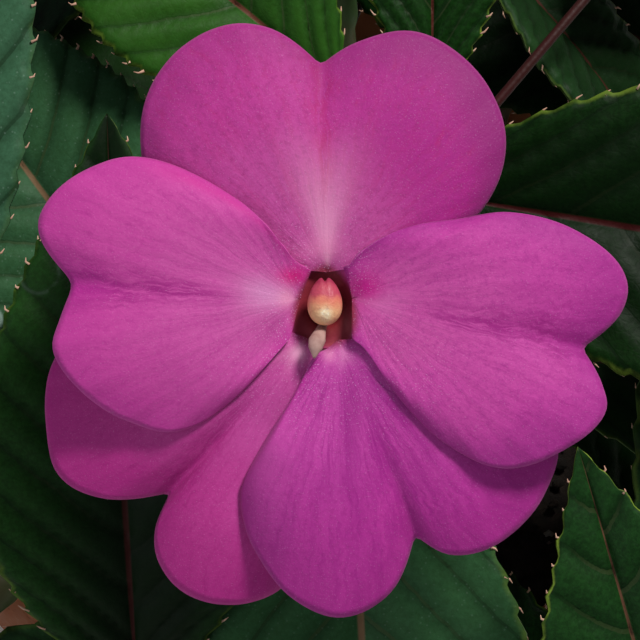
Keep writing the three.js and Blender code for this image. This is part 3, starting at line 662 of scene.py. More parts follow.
def leafMaterial(name, under):
    material = newMaterial(name)
    ownPlace, across, along = ownMap("leaf")
    spot = objectPlace()
    tone, kind, redness, rim, dusk = [ownValue(value) for value in leafLook["varies"]]
    t, phase = veinPhase(across, along)
    phase = scaled(grain(ownPlace, 9.0), 0.14, phase)
    away = calc("ABSOLUTE", calc("SUBTRACT", calc("FRACT", phase), 0.57))
    line = spread(away, 0.455, 0.5)
    speckle, cloud = grain(spot, 1500.0, 5.0, 0.72), grain(spot, 110.0, 3.0, 0.6)
    if under:
        colour = painted(
            leafLook["underDeep"],
            (spread(speckle, 0.35, 0.65), leafLook["under"]),
            (times(line, 0.5), leafLook["underVein"]),
        )
    else:
        # side veins drawn a little darker, with painted shade in the sunken grooves beside them, less on light young
        # leaves
        veinGrooveShade = times(scaled(line, 0.3, times(spread(away, 0.2, 0.5), 0.42)), scaled(tone, -0.6, 1.0))
        # small curls that dried drops have left
        curls = times(hill(cells(spot, 55.0), 0.13, 0.012), spread(cloud, 0.52, 0.56), kind, 0.75)
        colour = painted(
            leafLook["deep"],
            (spread(speckle, 0.36, 0.66), leafLook["blade"]),
            (times(tone, scaled(cloud, 0.9, 0.25), clamp=True), leafLook["young"]),
            # a blue-grey tint, partly the leaf's own colour and partly painted sheen
            (times(kind, scaled(speckle, 0.8, 0.2), clamp=True), leafLook["blue"]),
            (veinGrooveShade, leafLook["grooveShade"]),
            (times(spread(away, 0.492, 0.499), spread(t, 0.1, 0.9, 0.3, 0.0)), leafLook["vein"]),
            (times(spread(cells(spot, 1300.0), 0.08, 0.22, 0.22, 0.0), kind), leafLook["dot"]),
            # painted shade on leaves that lie in shadow, a little weaker towards their margins
            (times(dusk, spread(t, 0.55, 1.0, 0.95, 0.6)), leafLook["dusk"]),
            (curls, leafLook["curl"]),
        )
    edge = spread(scaled(speckle, 0.03, t), 0.965, 1.01)
    edge = times(edge, spread(grain(spot, 330.0), 0.4, 0.6, 0.3, 1.0), rim)
    rib = spread(calc("DIVIDE", t, scaled(along, -0.014, 0.027)), 0.55, 1.3, 1.0, 0.0)
    # the midrib is pale or red, and takes the painted shade of its leaf
    ribColour = painted(leafLook["rib"], (redness, leafLook["redRib"]), (times(dusk, 0.75), leafLook["paintedShadeRib"]))
    colour = painted(colour, (edge, leafLook["margin"]), (times(rib, 0.9), ribColour))
    net = spread(cells(swayed(ownPlace, 14.0, 0.03), 1.0, "DISTANCE_TO_EDGE", (40, 90, 1)), 0.0, 0.25, -1.0, 0.0)
    return dress(material, colour, scaled(grain(spot, 500.0, 4.0), 0.3, 0.5 if under else 0.36), 0.08,
                 (calc("ADD", net, times(line, -3.0)), 0.0001, 0.12), (speckle, 0.00012, 0.25))


def skinMaterial(name, colours, scale, rough, bump, shaded=False):
    # Two colours in soft patches with fine grain, for stems and stalks
    material = newMaterial(name)
    spot = objectPlace()
    fine = grain(spot, scale * 14)
    colour = painted(
        colours[0],
        (spread(grain(spot, scale, 3.0), 0.35, 0.65), colours[1]),
        (times(fine, 0.25), colours[2]),
    )
    # painted shade on the stalks of shaded leaves
    if shaded:
        colour = painted(colour, (times(ownValue("dusk"), 0.8), (0.020, 0.003, 0.004)))
    return dress(material, colour, scaled(fine, 0.2, rough), 0.28, (fine, bump, 0.6))


skins = {
    "columnStalk": ("columnStalk", ((0.17, 0.012, 0.03), (0.24, 0.03, 0.06), (0.30, 0.06, 0.08)), 500, 0.4, 0.00005),
    "stem": ("fleshyStem", ((0.055, 0.11, 0.035), (0.12, 0.045, 0.035), (0.09, 0.15, 0.06)), 60, 0.35, 0.0001),
    "petiole": ("redStalk", ((0.085, 0.010, 0.013), (0.060, 0.018, 0.010), (0.15, 0.035, 0.030)),
                120, 0.38, 0.00008, True),
    "bristle": ("toothTip", ((0.58, 0.36, 0.25), (0.50, 0.26, 0.18), (0.70, 0.52, 0.42)), 900, 0.4, 0.00002),
    "sepal": ("sepalSkin", ((0.34, 0.10, 0.09), (0.42, 0.20, 0.13), (0.30, 0.06, 0.07)), 160, 0.4, 0.00006),
    "lip": ("paleLip", ((0.44, 0.26, 0.23), (0.33, 0.17, 0.15), (0.56, 0.40, 0.36)), 900, 0.4, 0.0001),
}


def columnMaterial():
    # Crimson at its top, coral, then cream, with a painted highlight near its lower end that is partly pollen
    material = newMaterial("columnCap")
    faceX, faceY = ownMap("face")[1:]
    spot = objectPlace()
    height = calc("ADD", faceY, scaled(grain(spot, 900.0), 0.012, -0.006))
    near = times(hill(faceX, 0.502, 0.006), hill(faceY, 0.485, 0.006))
    colour = painted(
        (0.78, 0.42, 0.21),
        (spread(height, 0.486, 0.500), (0.66, 0.19, 0.13)),
        (spread(height, 0.499, 0.508), (0.48, 0.065, 0.11)),
        (spread(height, 0.511, 0.523), (0.33, 0.028, 0.07)),
        # painted highlight, partly pale pollen, with fine painted wet glints in it
        (times(near, 0.9), (1.0, 0.86, 0.58)),
        (times(near, spread(grain(spot, 5200.0), 0.5, 0.66), 0.9), (1.0, 0.92, 0.74)),
        (spread(grain(spot, 1500.0, 3.0), 0.5, 0.75, 0.0, 0.35), (0.36, 0.05, 0.05)),
    )
    return dress(material, colour, 0.42, 0.3, (grain(spot, 3000.0), 0.0001, 0.7))


def budMaterial():
    # Pink with deeper lines that follow the roll, greener towards the foot
    material = newMaterial("budSkin")
    spot = objectPlace()
    lines = grain(ownMap("roll")[0], 26.0, 4.0, 0.65)
    colour = painted(
        (0.46, 0.055, 0.22),
        (spread(lines, 0.42, 0.62), (0.30, 0.014, 0.13)),
        (spread(grain(spot, 1400.0, 4.0, 0.7), 0.5, 0.7, 0.0, 0.35), (0.58, 0.16, 0.36)),
        (spread(ownValue("along"), 0.05, 0.5, 0.85, 0.0), (0.26, 0.17, 0.09)),
    )
    return dress(material, colour, 0.5, 0.2, (lines, 0.0003, 0.5), (grain(spot, 3800.0), 0.00006, 0.6))


def clayMaterial():
    material = newMaterial("firedClay")
    spot = objectPlace()
    broad = spread(grain(spot, 16.0, 4.0, 0.6), 0.3, 0.7)
    bands = grain(spot, 1.0, 3.0, 0.5, (6, 6, 260))
    lime = times(spread(grain(spot, 30.0, 5.0, 0.7), 0.52, 0.72), 0.35)
    pores = times(spread(cells(swayed(spot, 300.0, 0.004), 900.0), 0.12, 0.3, 1.0, 0.0),
                  spread(grain(spot, 160.0, 3.0), 0.48, 0.62))
    colour = painted(
        (0.42, 0.125, 0.048),
        (broad, (0.52, 0.175, 0.075)),
        (spread(bands, 0.45, 0.75, 0.0, 0.35), (0.34, 0.09, 0.035)),
        (lime, (0.66, 0.46, 0.36)),
        (times(pores, 0.35), (0.24, 0.06, 0.025)),
    )
    return dress(material, colour, scaled(broad, 0.12, 0.8), 0.5,
                 (bands, 0.0004, 0.5), (times(pores, -1.0), 0.00025, 0.6))


def soilMaterial(name, dark, light):
    material = newMaterial(name)
    spot = objectPlace()
    colour = painted(dark, (spread(grain(spot, 240.0, 5.0, 0.7), 0.35, 0.7), light))
    return dress(material, colour, 0.95, 0.5, (grain(spot, 500.0, 6.0, 0.75), 0.0014, 1.0))


materials = {
    **{name: petalMaterial(name, look) for name, look in petalLooks.items()},
    **{slot: skinMaterial(*look) for slot, look in skins.items()},
    "throat": throatMaterial(),
    "leafTop": leafMaterial("leafTop", False),
    "leafUnder": leafMaterial("leafUnder", True),
    "column": columnMaterial(),
    "bud": budMaterial(),
    "clay": clayMaterial(),
    "soil": soilMaterial("pottingSoil", (0.008, 0.005, 0.003), (0.030, 0.018, 0.011)),
    "perlite": soilMaterial("perlite", (0.30, 0.28, 0.25), (0.50, 0.48, 0.44)),
}
print("materials made")

# Shapes


def ringMatrix(point, across, along, radius, flat):
    other = np.cross(along, across)
    matrix = Matrix.Identity(4)
    for i in range(3):
        matrix[i][0], matrix[i][1] = across[i] * radius * mm, other[i] * radius * flat * mm
        matrix[i][2], matrix[i][3] = along[i] * mm, point[i] * mm
    return matrix


def pushRod(bm, points, radii, sides, slot, flat=1.0, across=(1, 0.2, 0.1)):
    # A disc pushed along the points, turned and scaled at each
    across = np.array(across)
    disc = bmesh.ops.create_circle(bm, cap_ends=True, segments=sides, radius=1)["verts"]
    last, faces = Matrix.Identity(4), set(disc[0].link_faces)
    cap = disc[0].link_faces[0]
    for i, (point, radius) in enumerate(zip(points, radii)):
        along = unit(points[min(i + 1, len(points) - 1)] - points[max(i - 1, 0)])
        across = unit(across - along * np.dot(across, along))
        matrix = ringMatrix(point, across, along, radius, flat)
        verts = disc
        if i > 0:
            grown = bmesh.ops.extrude_face_region(bm, geom=[cap, *cap.edges, *cap.verts])["geom"]
            verts = [item for item in grown if isinstance(item, bmesh.types.BMVert)]
            cap = next(item for item in grown if isinstance(item, bmesh.types.BMFace))
        bmesh.ops.transform(bm, matrix=matrix @ last.inverted(), verts=verts)
        last = matrix
        faces.update(face for vert in verts for face in vert.link_faces)
    faces = [face for face in faces if face.is_valid]
    outwards, middle = 0, Vector(points[0] * mm)
    for face in faces:
        face.material_index = slot
        face.normal_update()
        outwards += face.calc_area() * face.normal.dot(face.calc_center_median() - middle)
    if outwards < 0:
        bmesh.ops.reverse_faces(bm, faces=faces)


def smoothPath(points, steps):
    # A finer path through the same points, as a curve that passes through each
    points = [2 * points[0] - points[1], *points, 2 * points[-1] - points[-2]]
    fine = []
    for a, b, c, d in zip(points, points[1:], points[2:], points[3:]):
        for t in [i / steps for i in range(steps)]:
            fine.append(0.5 * (2 * b + (c - a) * t + (2 * a - 5 * b + 4 * c - d) * t * t
                        + (3 * b - a - 3 * c + d) * t**3))
    return fine + [points[-2]]


def smoothNumbers(numbers, steps):
    return np.interp(np.arange((len(numbers) - 1) * steps + 1) / steps, np.arange(len(numbers)), numbers)


def pushCurve(bm, points, radii, steps, sides, slot, size=1, **shape):
    pushRod(bm, smoothPath(points, steps), smoothNumbers(radii, steps) * size, sides, slot, **shape)


def eased(value, low, high):
    share = np.clip((value - low) / (high - low), 0, 1)
    return share * share * (3 - 2 * share)


def spotsOf(verts):
    return np.array([vert.co for vert in verts])


def moveTo(verts, points):
    for vert, point in zip(verts, points * mm):
        vert.co = point


def newSheet(part, columns, rows):
    # A flat grid's vertices, with each one's place across and along from 0 to 1
    verts = bmesh.ops.create_grid(part, x_segments=columns, y_segments=rows, size=1, calc_uvs=True)["verts"]
    across, along = (spotsOf(verts)[:, :2].T + 1) / 2
    return verts, across, along


def writeMap(verts, layer, u, v):
    for vert, x, y in zip(verts, u, v):
        for loop in vert.link_loops:
            loop[layer].uv = (x, y)


def writeFaceMap(verts, layer, x, y):
    # A bloom's millimetres as hundredths about 0.5
    writeMap(verts, layer, x / 100 + 0.5, y / 100 + 0.5)


def faceTowards(part, way):
    part.normal_update()
    if sum(np.dot(face.normal, way) for face in part.faces) < 0:
        bmesh.ops.reverse_faces(part, faces=part.faces[:])


def faceOutwards(part):
    if part.calc_volume(signed=True) < 0:
        bmesh.ops.reverse_faces(part, faces=part.faces[:])


def thicken(part, thickness, slot=0):
    bmesh.ops.solidify(part, geom=part.faces[:], thickness=thickness)
    faceOutwards(part)
    for face in part.faces:
        face.material_index = slot


def spinProfile(part, profile, scale, steps):
    # A solid turned from a line of radii and heights that starts and ends on the axis
    verts = [part.verts.new((radius * scale, 0, z * scale)) for radius, z in profile]
    edges = [part.edges.new(pair) for pair in zip(verts, verts[1:])]
    bmesh.ops.spin(part, geom=verts + edges, cent=(0, 0, 0), axis=(0, 0, 1), angle=2 * math.pi,
                   steps=steps, use_merge=True)
    bmesh.ops.remove_doubles(part, verts=part.verts[:], dist=0.001 * scale)
    bmesh.ops.recalc_face_normals(part, faces=part.faces[:])


def addTo(whole, part):
    # Puts a finished part's mesh into the piece that holds it
    mesh = bpy.data.meshes.new("part")
    part.to_mesh(mesh)
    part.free()
    whole.from_mesh(mesh)
    bpy.data.meshes.remove(mesh)


def addObject(name, data):
    thing = bpy.data.objects.new(name, data)
    bpy.context.scene.collection.objects.link(thing)
    return thing


def meshObject(bm, name):
    mesh = bpy.data.meshes.new(name)
    bm.to_mesh(mesh)
    bm.free()
    return addObject(name, mesh)


def finishPiece(bm, name, replaced, slots):
    for face in bm.faces:
        face.smooth = True
    piece = meshObject(bm, name)
    for slot in slots:
        piece.data.materials.append(materials[slot])
    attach(piece, "root")
    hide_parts(replaced)
    lowest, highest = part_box(replaced)
    spots = spotsOf(piece.data.vertices)
    apart = max(np.abs(spots.min(0) - lowest).max(), np.abs(spots.max(0) - highest).max()) / mm
    triangles = sum(len(polygon.vertices) - 2 for polygon in piece.data.polygons)
    print(f"{name}: {triangles} triangles, {apart:.2f} mm from its solid's box")
    return piece


# Leaf

leafMake = {
    "framing": {"rows": 132, "columns": 26, "teeth": 27, "bristleSides": 5},
    "others": {"rows": 72, "columns": 14, "teeth": 18, "bristleSides": 3},
    "thickness": 0.5, "toothReach": 0.045, "hook": 0.72, "quilt": 0.7, "groove": 0.5, "sideGroove": 0.35,
    "wave": 0.5, "petiole": [1.3, 1.0, 0.8] + [0.68] * 7, "bristle": 1.1, "bristleRadii": [0.2, 0.13, 0.04],
    "toneSteps": (0.618, 0.377, 0.731, 0.53, 0.29), "toneMost": (0.5, 0.4, 1.0, 0.5, 0.45), "shadeReach": 75,
}


def leafRelief(s, t):
    # Sunken midrib and side veins with the blade puffed up between them
    forward = s - leafLook["sweep"] * (1 - s**3) * np.abs(t) ** 1.25
    away = np.abs((forward * leafLook["laterals"] + leafLook["apart"] * (t > 0)) % 1 - 0.5)
    inside = (1 - np.abs(t) ** 6) * np.clip(s * 8, 0, 1) * np.clip((1 - s) * 6, 0, 1)
    puffed = leafMake["quilt"] * np.cos(np.pi * away) * np.minimum(1, np.abs(t) * 3)
    midrib = leafMake["groove"] * np.exp(-((t / 0.05) ** 2))
    sides = leafMake["sideGroove"] * np.exp(-(((away - 0.5) / 0.07) ** 2))
    return (puffed - (midrib + sides)) * inside


def makeLeaf(whole, leaf, index):
    make = leafMake["framing" if leaf["framing"] else "others"]
    part = bmesh.new()
    leafMap = part.loops.layers.uv.new("leaf")
    part.loops.layers.uv.new("face")
    verts, across, s = newSheet(part, make["columns"], make["rows"])
    t = np.sign(across - 0.5) * np.abs(2 * across - 1) ** 1.3
    writeMap(verts, leafMap, t / 2 + 0.5, s)
    # teeth hook towards the tip: each rises slowly and falls back fast
    step, hook = (s * make["teeth"]) % 1, leafMake["hook"]
    tooth = np.where(step < hook, step / hook, (1 - step) / (1 - hook)) - 0.5
    half = leaf["width"] / 2 * leafOutline(s)
    reach = 1 + leafMake["toothReach"] * tooth * np.abs(t) ** 10 * 16 / np.maximum(half, 4)
    wave = np.sin(s * 21 + index * 1.7 + np.sign(t) * 1.1) * np.abs(t) ** 3 * np.sin(np.pi * s)
    points = leafPoint(leaf, s, t * reach) + (leafRelief(s, t) + leafMake["wave"] * wave)[:, None] * leaf["up"]
    moveTo(verts, points + leaf["up"] * leafMake["thickness"] / 2)
    bmesh.ops.remove_doubles(part, verts=part.verts[:], dist=0.02 * mm)
    faceTowards(part, leaf["up"])
    thicken(part, leafMake["thickness"] * mm)
    part.normal_update()
    for face in part.faces:
        face.material_index = int(np.dot(face.normal, leaf["up"]) <= 0)
    addBristles(part, leaf, make)
    # the stalk goes on under the blade as its midrib
    ribShares = np.linspace(0.05, 0.9, 12)
    path = [petioleAt(leaf, share) for share in np.linspace(0, 1, 11)[:-1]]
    path += [leafPoint(leaf, share, 0) - leaf["up"] * (1.25 - 0.4 * share) for share in ribShares]
    pushRod(part, path, leafMake["petiole"] + [0.75 - 0.55 * share for share in ribShares], 8, 2)
    # a pair of values runs from the leaf's left margin to its midrib and right side
    over = eased((spotsOf(part.verts) / mm - leaf["base"]) @ leaf["side"] / leaf["width"], -0.5, -0.02)
    for layerName, value in zip(leafLook["varies"], leafTone(leaf, index)):
        layer = part.verts.layers.float.new(layerName)
        left, right = value if isinstance(value, tuple) else (value, value)
        for vert, number in zip(part.verts, left + (right - left) * over):
            vert[layer] = number
    addTo(whole, part)


def leafTone(leaf, index):
    if leaf["framing"]:
        return leaf["tone"]
    tone = [(index * step) % 1 * most for step, most in zip(leafMake["toneSteps"], leafMake["toneMost"])]
    reach = (leaf["base"] + leaf["tip"]) / 2 - front["centre"]
    if math.hypot(reach @ front["right"], reach @ front["up"]) < leafMake["shadeReach"]:
        # painted shade: the leaves behind the front bloom are darkened as if in its shadow
        tone[3], tone[4] = 0.2, 0.8
    return tone


def addBristles(part, leaf, make):
    # A small pale hook stands on each tooth
    for side in (-1, 1):
        out = leaf["side"] * side
        for k in range(1, make["teeth"]):
            s = (k + 0.7) / make["teeth"]
            if s > 0.985:
                continue
            foot = leafPoint(leaf, s, side)
            ahead = unit(leafPoint(leaf, min(s + 0.02, 1), side) - foot)
            length = leafMake["bristle"] * (0.75 + 0.25 * math.sin(k * 2.3 + side))
            path = [foot - out * 0.25, foot + out * 0.35 * length + ahead * 0.35 * length,
                    foot + out * 0.55 * length + ahead * 0.9 * length + leaf["up"] * 0.15]
            pushRod(part, path, leafMake["bristleRadii"], make["bristleSides"], 3)


growingTip = {"leaves": 5, "length": 7.5, "spread": 2.6, "shorter": 0.12, "widths": [0.9, 1.35, 0.8, 0.08]}


def addGrowingTip(whole, stem):
    # The youngest leaves are still folded round each other at the stem's end
    along, tip = stemAlong(stem, 0.98), stem["tip"]
    aside = unit(np.cross(along, (0.3, 0.2, 1)))
    for k in range(growingTip["leaves"]):
        out = turned(aside, along, k * plant["turn"])
        length, wide = growingTip["length"] * (1 - growingTip["shorter"] * k), growingTip["spread"]
        path = [tip - along * 1.5, tip + along * 0.25 * length + out * 0.45 * wide,
                tip + along * 0.6 * length + out * 0.9 * wide, tip + along * length + out * wide]
        pushCurve(whole, path, growingTip["widths"], 4, 8, 4, flat=0.4, across=np.cross(along, out))


stalkRadii = {"pedicel": [1.5, 1, 0.9, 1], "bud": [1.5, 1, 0.9, 0.9]}


def makeLeafyStem(stem):
    whole = bmesh.new()
    path, radii = [stem["foot"], stem["collar"] - upward * 8], [plant["stemFoot"] - 0.05] * 2
    for share in np.linspace(0, 1, 41):
        swell = sum(math.exp(-(((share - leafLevel(level)) / 0.02) ** 2)) for level in range(plant["levels"]))
        path.append(stemPoint(stem, share))
        radii.append(stemRadius(share) + 0.5 * swell)
    pushRod(whole, path, radii, 16, 4)
    addGrowingTip(whole, stem)
    steps = np.linspace(0, 1, 15)
    for place in places:
        if place["shoot"] == stem["index"]:
            pushRod(whole, pedicelPoints(place, steps), smoothNumbers(stalkRadii["pedicel"], 5)[:-1], 10, 2)
    for bud in budPlaces:
        if bud["shoot"] == stem["index"]:
            pushRod(whole, budStalk(bud, steps), smoothNumbers(stalkRadii["bud"], 5)[:-1], 10, 2)
    for index, leaf in enumerate(leaves):
        if leaf["shoot"] == stem["index"]:
            makeLeaf(whole, leaf, index)
    slots = ["leafTop", "leafUnder", "petiole", "bristle", "stem"]
    return finishPiece(whole, "leafyStem_" + stem["name"], "leafy_stem_" + stem["name"], slots)


# Bloom

petals = {
    "standard": {
        "claw": (0.4, 3.1), "layer": 0, "rise": -1.6, "phase": 0.4, "notch": 91.9,
        "lifts": [(1, -0.9, 0.5, 4, 18), (-1, -0.25, 0.5, 4, 18)],
        "outline": [(176, 8), (158, 20), (145, 25.4), (131, 28.9), (116, 29.9), (104, 28.1), (91.9, 23.1),
                    (82, 26), (68, 28.7), (48, 27.2), (30, 22.4), (8, 11)],
    },
    "lowerLeft": {
        "claw": (-1.8, -4.2), "layer": -0.4, "rise": -5.2, "phase": 1.9, "notch": 228.3,
        "lifts": [(-1, 1.7, 0.8, 2, 15), (-0.35, 0.4, 0.35, -2, 5), (0.8, -1.7, 0.7, 4, 15)],
        "outline": [(160, 12), (174, 24), (185.9, 29), (199, 31.2), (209, 32), (218, 29.3), (228.3, 23.4),
                    (231.5, 27.7), (237, 30.6), (246, 32), (258, 30.5), (268, 26), (284, 12)],
    },
    "lowerRight": {
        "claw": (1.55, -4.4), "layer": 0, "rise": -2.4, "phase": 2.6, "notch": 291.5,
        "lifts": [(-1, 1.9, 0.6, 7, 18), (1, 0.35, 0.6, 1, 14), (0.6, 0.4, 0.3, -2, 4)],
        "outline": [(219, 2.8), (230.5, 7.2), (233.6, 12.8), (235.9, 18.4), (238.8, 20.9), (243.9, 23.4),
                    (248.7, 25.3), (260, 29.2), (271, 30.9), (282, 28.7), (291.5, 23.5), (298, 27.2), (309, 29),
                    (324, 28.8), (338, 26), (352, 16), (364, 6)],
    },
    "leftWing": {
        "claw": (-2.65, 0), "layer": 0.4, "rise": 0.6, "phase": 0.9, "notch": 175.9, "rounding": 5,
        "lifts": [(-1, 0.8, 0.45, 8, 18), (1, -1.3, 0.45, -1, 17)], "span": (100, 243),
        "outline": [(69, 3.4), (102.6, 5.1), (122.6, 13.5), (137.2, 23.2), (146.8, 27.1), (158, 29.8), (166, 29.6),
                    (175.9, 24.9), (184.3, 26.5), (192, 27.7), (202.7, 26.1), (215, 23.3), (229, 18.9), (243, 8),
                    (256, 4)],
    },
    "rightWing": {
        "claw": (3.1, 0.2), "layer": 0.4, "rise": 0.4, "phase": 3.4, "notch": -12.2,
        "lifts": [(-1, -0.7, 0.4, 1, 7)], "span": (95, -72),
        "outline": [(106, 3.5), (90, 4.0), (64, 7.3), (40, 13.4), (28.9, 19.7), (17, 25.8), (6, 30.1), (-2.5, 30),
                    (-12.2, 26.1), (-19, 29.2), (-25, 30.6), (-36, 28.6), (-48.6, 25), (-58, 18.5), (-72, 7),
                    (-91, 4.3)],
    },
}
petalMake = {"front": (132, 34), "others": (56, 14), "thickness": 0.3, "shareAtClaw": 0.003}


def petalHeight(petal, share, side, distance):
    # Near the claw the height follows the distance from it, so that the sides lie flat there
    far = eased(distance, 4, 16)
    bend = (1 - far) * distance / 30 + far * share
    opened = 1 - (1 - bend) ** 4
    crease = np.exp(-((side / 0.16) ** 2))
    height = (petal["layer"] * 2 - 1.4) * (1 - opened) + petal["layer"] * opened + petal["rise"] * bend
    height = height + (3.2 + 1.2 * far) * bend * (1 - bend) - far * (0.8 * share**5 + 0.75 * crease * share)
    # its sides are lifted or lowered, between two distances, to lie close on their neighbours
    for edge, amount, width, begins, ends in petal["lifts"]:
        between = eased(distance, begins, begins + 8) * (1 - eased(distance, ends, ends + 10))
        height = height + amount * between * np.exp(-(((edge - side) / width) ** 2))
    return height + 0.7 * far * np.sin(4.2 * side + petal["phase"]) * share**2


def petalRipple(petal, share, side):
    # A sharper crease, soft ribs along the veins and a wavering edge
    sharp = -0.2 * np.exp(-((side / 0.05) ** 2)) * share**2
    ribs = 0.07 * np.sin(26 * side + petal["phase"] * 3) * share * (1 - share)
    fine = 0.035 * np.sin(71 * side + 5 * share) * share
    edge = 0.28 * np.sin(11 * side + petal["phase"] * 5) * share**5 + 0.10 * np.sin(37 * side) * share**8
    return sharp + ribs + fine + edge


def funnelled(x, y):
    # How far the petals' claws dip into the throat at a place
    away = np.hypot((x - throat["x"]) / throat["halfWidth"], (y - throat["y"]) / throat["halfHeight"])
    return throat["funnel"] * (1 - eased(away, 0.85, 1.45))


def outlineStations(petal, count):
    # Bearings and radii evenly spaced along the petal's outline, each lobe smooth up to the notch
    outline = petal["outline"]
    turn = [bearing for bearing, _ in outline].index(petal["notch"])
    bearings, radii = [], []
    for lobe, lobeCount in ((outline[: turn + 1], count // 2), (outline[turn:], count - count // 2)):
        fine = np.array(smoothPath([np.array(point, float) for point in lobe], 24))
        bearing, radius = np.radians(fine[:, 0]), fine[:, 1]
        flat = np.stack([radius * np.cos(bearing), radius * np.sin(bearing)], 1)
        length = np.append(0, np.cumsum(np.sqrt((np.diff(flat, axis=0) ** 2).sum(1))))
        at = np.linspace(0, length[-1], lobeCount + 1)[1 if bearings else 0:]
        bearings += list(np.interp(at, length, fine[:, 0]))
        radii += list(np.interp(at, length, radius))
    radii = np.array(radii)
    middle = slice(count // 2 - 5, count // 2 + 6)
    for _ in range(petal.get("rounding", 1)):
        radii[middle] = (np.roll(radii, 1) + radii * 2 + np.roll(radii, -1))[middle] / 4
    return np.array(bearings), radii


def petalSide(petal, bearing):
    # -1 and 1 on the petal's two margins, 0 at its notch
    first, last = petal.get("span", (petal["outline"][0][0], petal["outline"][-1][0]))
    towardsFirst = np.sign(bearing - petal["notch"]) == np.sign(first - petal["notch"])
    return np.clip((bearing - petal["notch"]) / np.abs(np.where(towardsFirst, first, last) - petal["notch"]), -1, 1)


def addPetal(whole, petal, place, slot, columns, rows):
    part = bmesh.new()
    petalMap, faceMap = part.loops.layers.uv.new("petal"), part.loops.layers.uv.new("face")
    verts, across, along = newSheet(part, columns, rows)
    bearings, radii = outlineStations(petal, columns)
    column = np.rint(across * columns).astype(int)
    bearing, radius = bearings[column], radii[column]
    share = petalMake["shareAtClaw"] + (1 - petalMake["shareAtClaw"]) * along
    side = petalSide(petal, bearing)
    x = petal["claw"][0] + share * radius * np.cos(np.radians(bearing))
    y = petal["claw"][1] + share * radius * np.sin(np.radians(bearing))
    z = petalHeight(petal, share, side, share * radius) + petalRipple(petal, share, side) - funnelled(x, y)
    writeMap(verts, petalMap, side / 2 + 0.5, share)
    writeFaceMap(verts, faceMap, x, y)
    moveTo(verts, placePoint(place, x, y, z + petalMake["thickness"] / 2))
    faceTowards(part, place["facing"])
    thicken(part, petalMake["thickness"] * place["size"] * mm, slot)
    addTo(whole, part)


def makePetals(place):
    whole, name = bmesh.new(), place["name"]
    columns, rows = petalMake["front" if place is front else "others"]
    for slot, petal in enumerate(petals.values()):
        addPetal(whole, petal, place, slot, columns, rows)
    addThroat(whole, place)
    return finishPiece(whole, f"bloomPetals_{name}", f"bloom_{name}_petals", [*petals, "throat"])


collar = {
    "around": 48, "thickness": 0.25, "sunkBelow": 1.3, "sunkAbove": 0.7,
    # how wide and how deep each ring is
    "rings": [(1.5, -1.3), (1.34, -1.25), (1.18, -1.3), (1.06, -1.45), (0.95, -1.7), (0.82, -2.1), (0.64, -2.7),
              (0.45, -3.4)],
}


def addThroat(whole, place):
    # An oval collar under the petals' claws, drawn back into the cup
    part = bmesh.new()
    part.loops.layers.uv.new("petal")
    faceMap = part.loops.layers.uv.new("face")
    turn = np.linspace(0, 2 * np.pi, collar["around"], endpoint=False) - np.pi
    ring = bmesh.ops.create_circle(part, cap_ends=False, segments=collar["around"], radius=1)["verts"]
    edges = part.edges[:]
    for i, (reach, z) in enumerate(collar["rings"]):
        if i > 0:
            grown = bmesh.ops.extrude_edge_only(part, edges=edges)["geom"]
            ring = [item for item in grown if isinstance(item, bmesh.types.BMVert)]
            edges = [item for item in grown if isinstance(item, bmesh.types.BMEdge)]
        ring.sort(key=lambda vert: math.atan2(vert.co.y, vert.co.x))
        for vert, angle in zip(ring, turn):
            # narrower and deeper below, where the lower petals' claws lie
            above, below = max(0, math.sin(angle)), max(0, -math.sin(angle))
            wide = 1 + (reach - 1) * (1 - 0.8 * below**4) if reach > 1 else reach
            sunk = collar["sunkBelow"] * min(1, 1.6 * below) + collar["sunkAbove"] * above**3
            vert.co = (throat["x"] + throat["halfWidth"] * wide * math.cos(angle),
                       throat["y"] + throat["halfHeight"] * wide * math.sin(angle),
                       z - sunk * min(1, max(0, (reach - 0.6) / 0.4)))
    x, y, z = spotsOf(part.verts).T
    writeFaceMap(part.verts, faceMap, x, y)
    moveTo(part.verts, placePoint(place, x, y, z))
    bmesh.ops.recalc_face_normals(part, faces=part.faces[:])
    thicken(part, collar["thickness"] * mm, len(petals))
    addTo(whole, part)


sepalMake = {
    "cup": [(0.0, cupBack + 3.2), (1.5, cupBack + 3.8), (2.6, cupBack + 5.5), (3.4, cupMouth - 1), (3.7, cupMouth),
            (4.4, cupMouth), (4.3, cupMouth - 1), (3.6, cupBack + 4), (2.5, cupBack + 1), (1.4, cupBack - 0.5),
            (0.0, cupBack - 1)],
    "cupAround": 32, "cupNarrow": 0.86, "spurRadii": [1.5, 1.3, 1.05, 0.9, 0.75, 0.6],
    "lip": [(0, -3.1, -5), (-0.1, -2.7, -2.2), (-0.4, -3.4, -0.1), (-0.75, -4.4, 0.8), (-0.95, -5.3, 1.1),
            (-1.1, -6.4, 1.1)],
    "lipRadii": [0.5, 0.45, 0.62, 0.98, 0.8, 0.1], "lipFlat": 0.55,
}


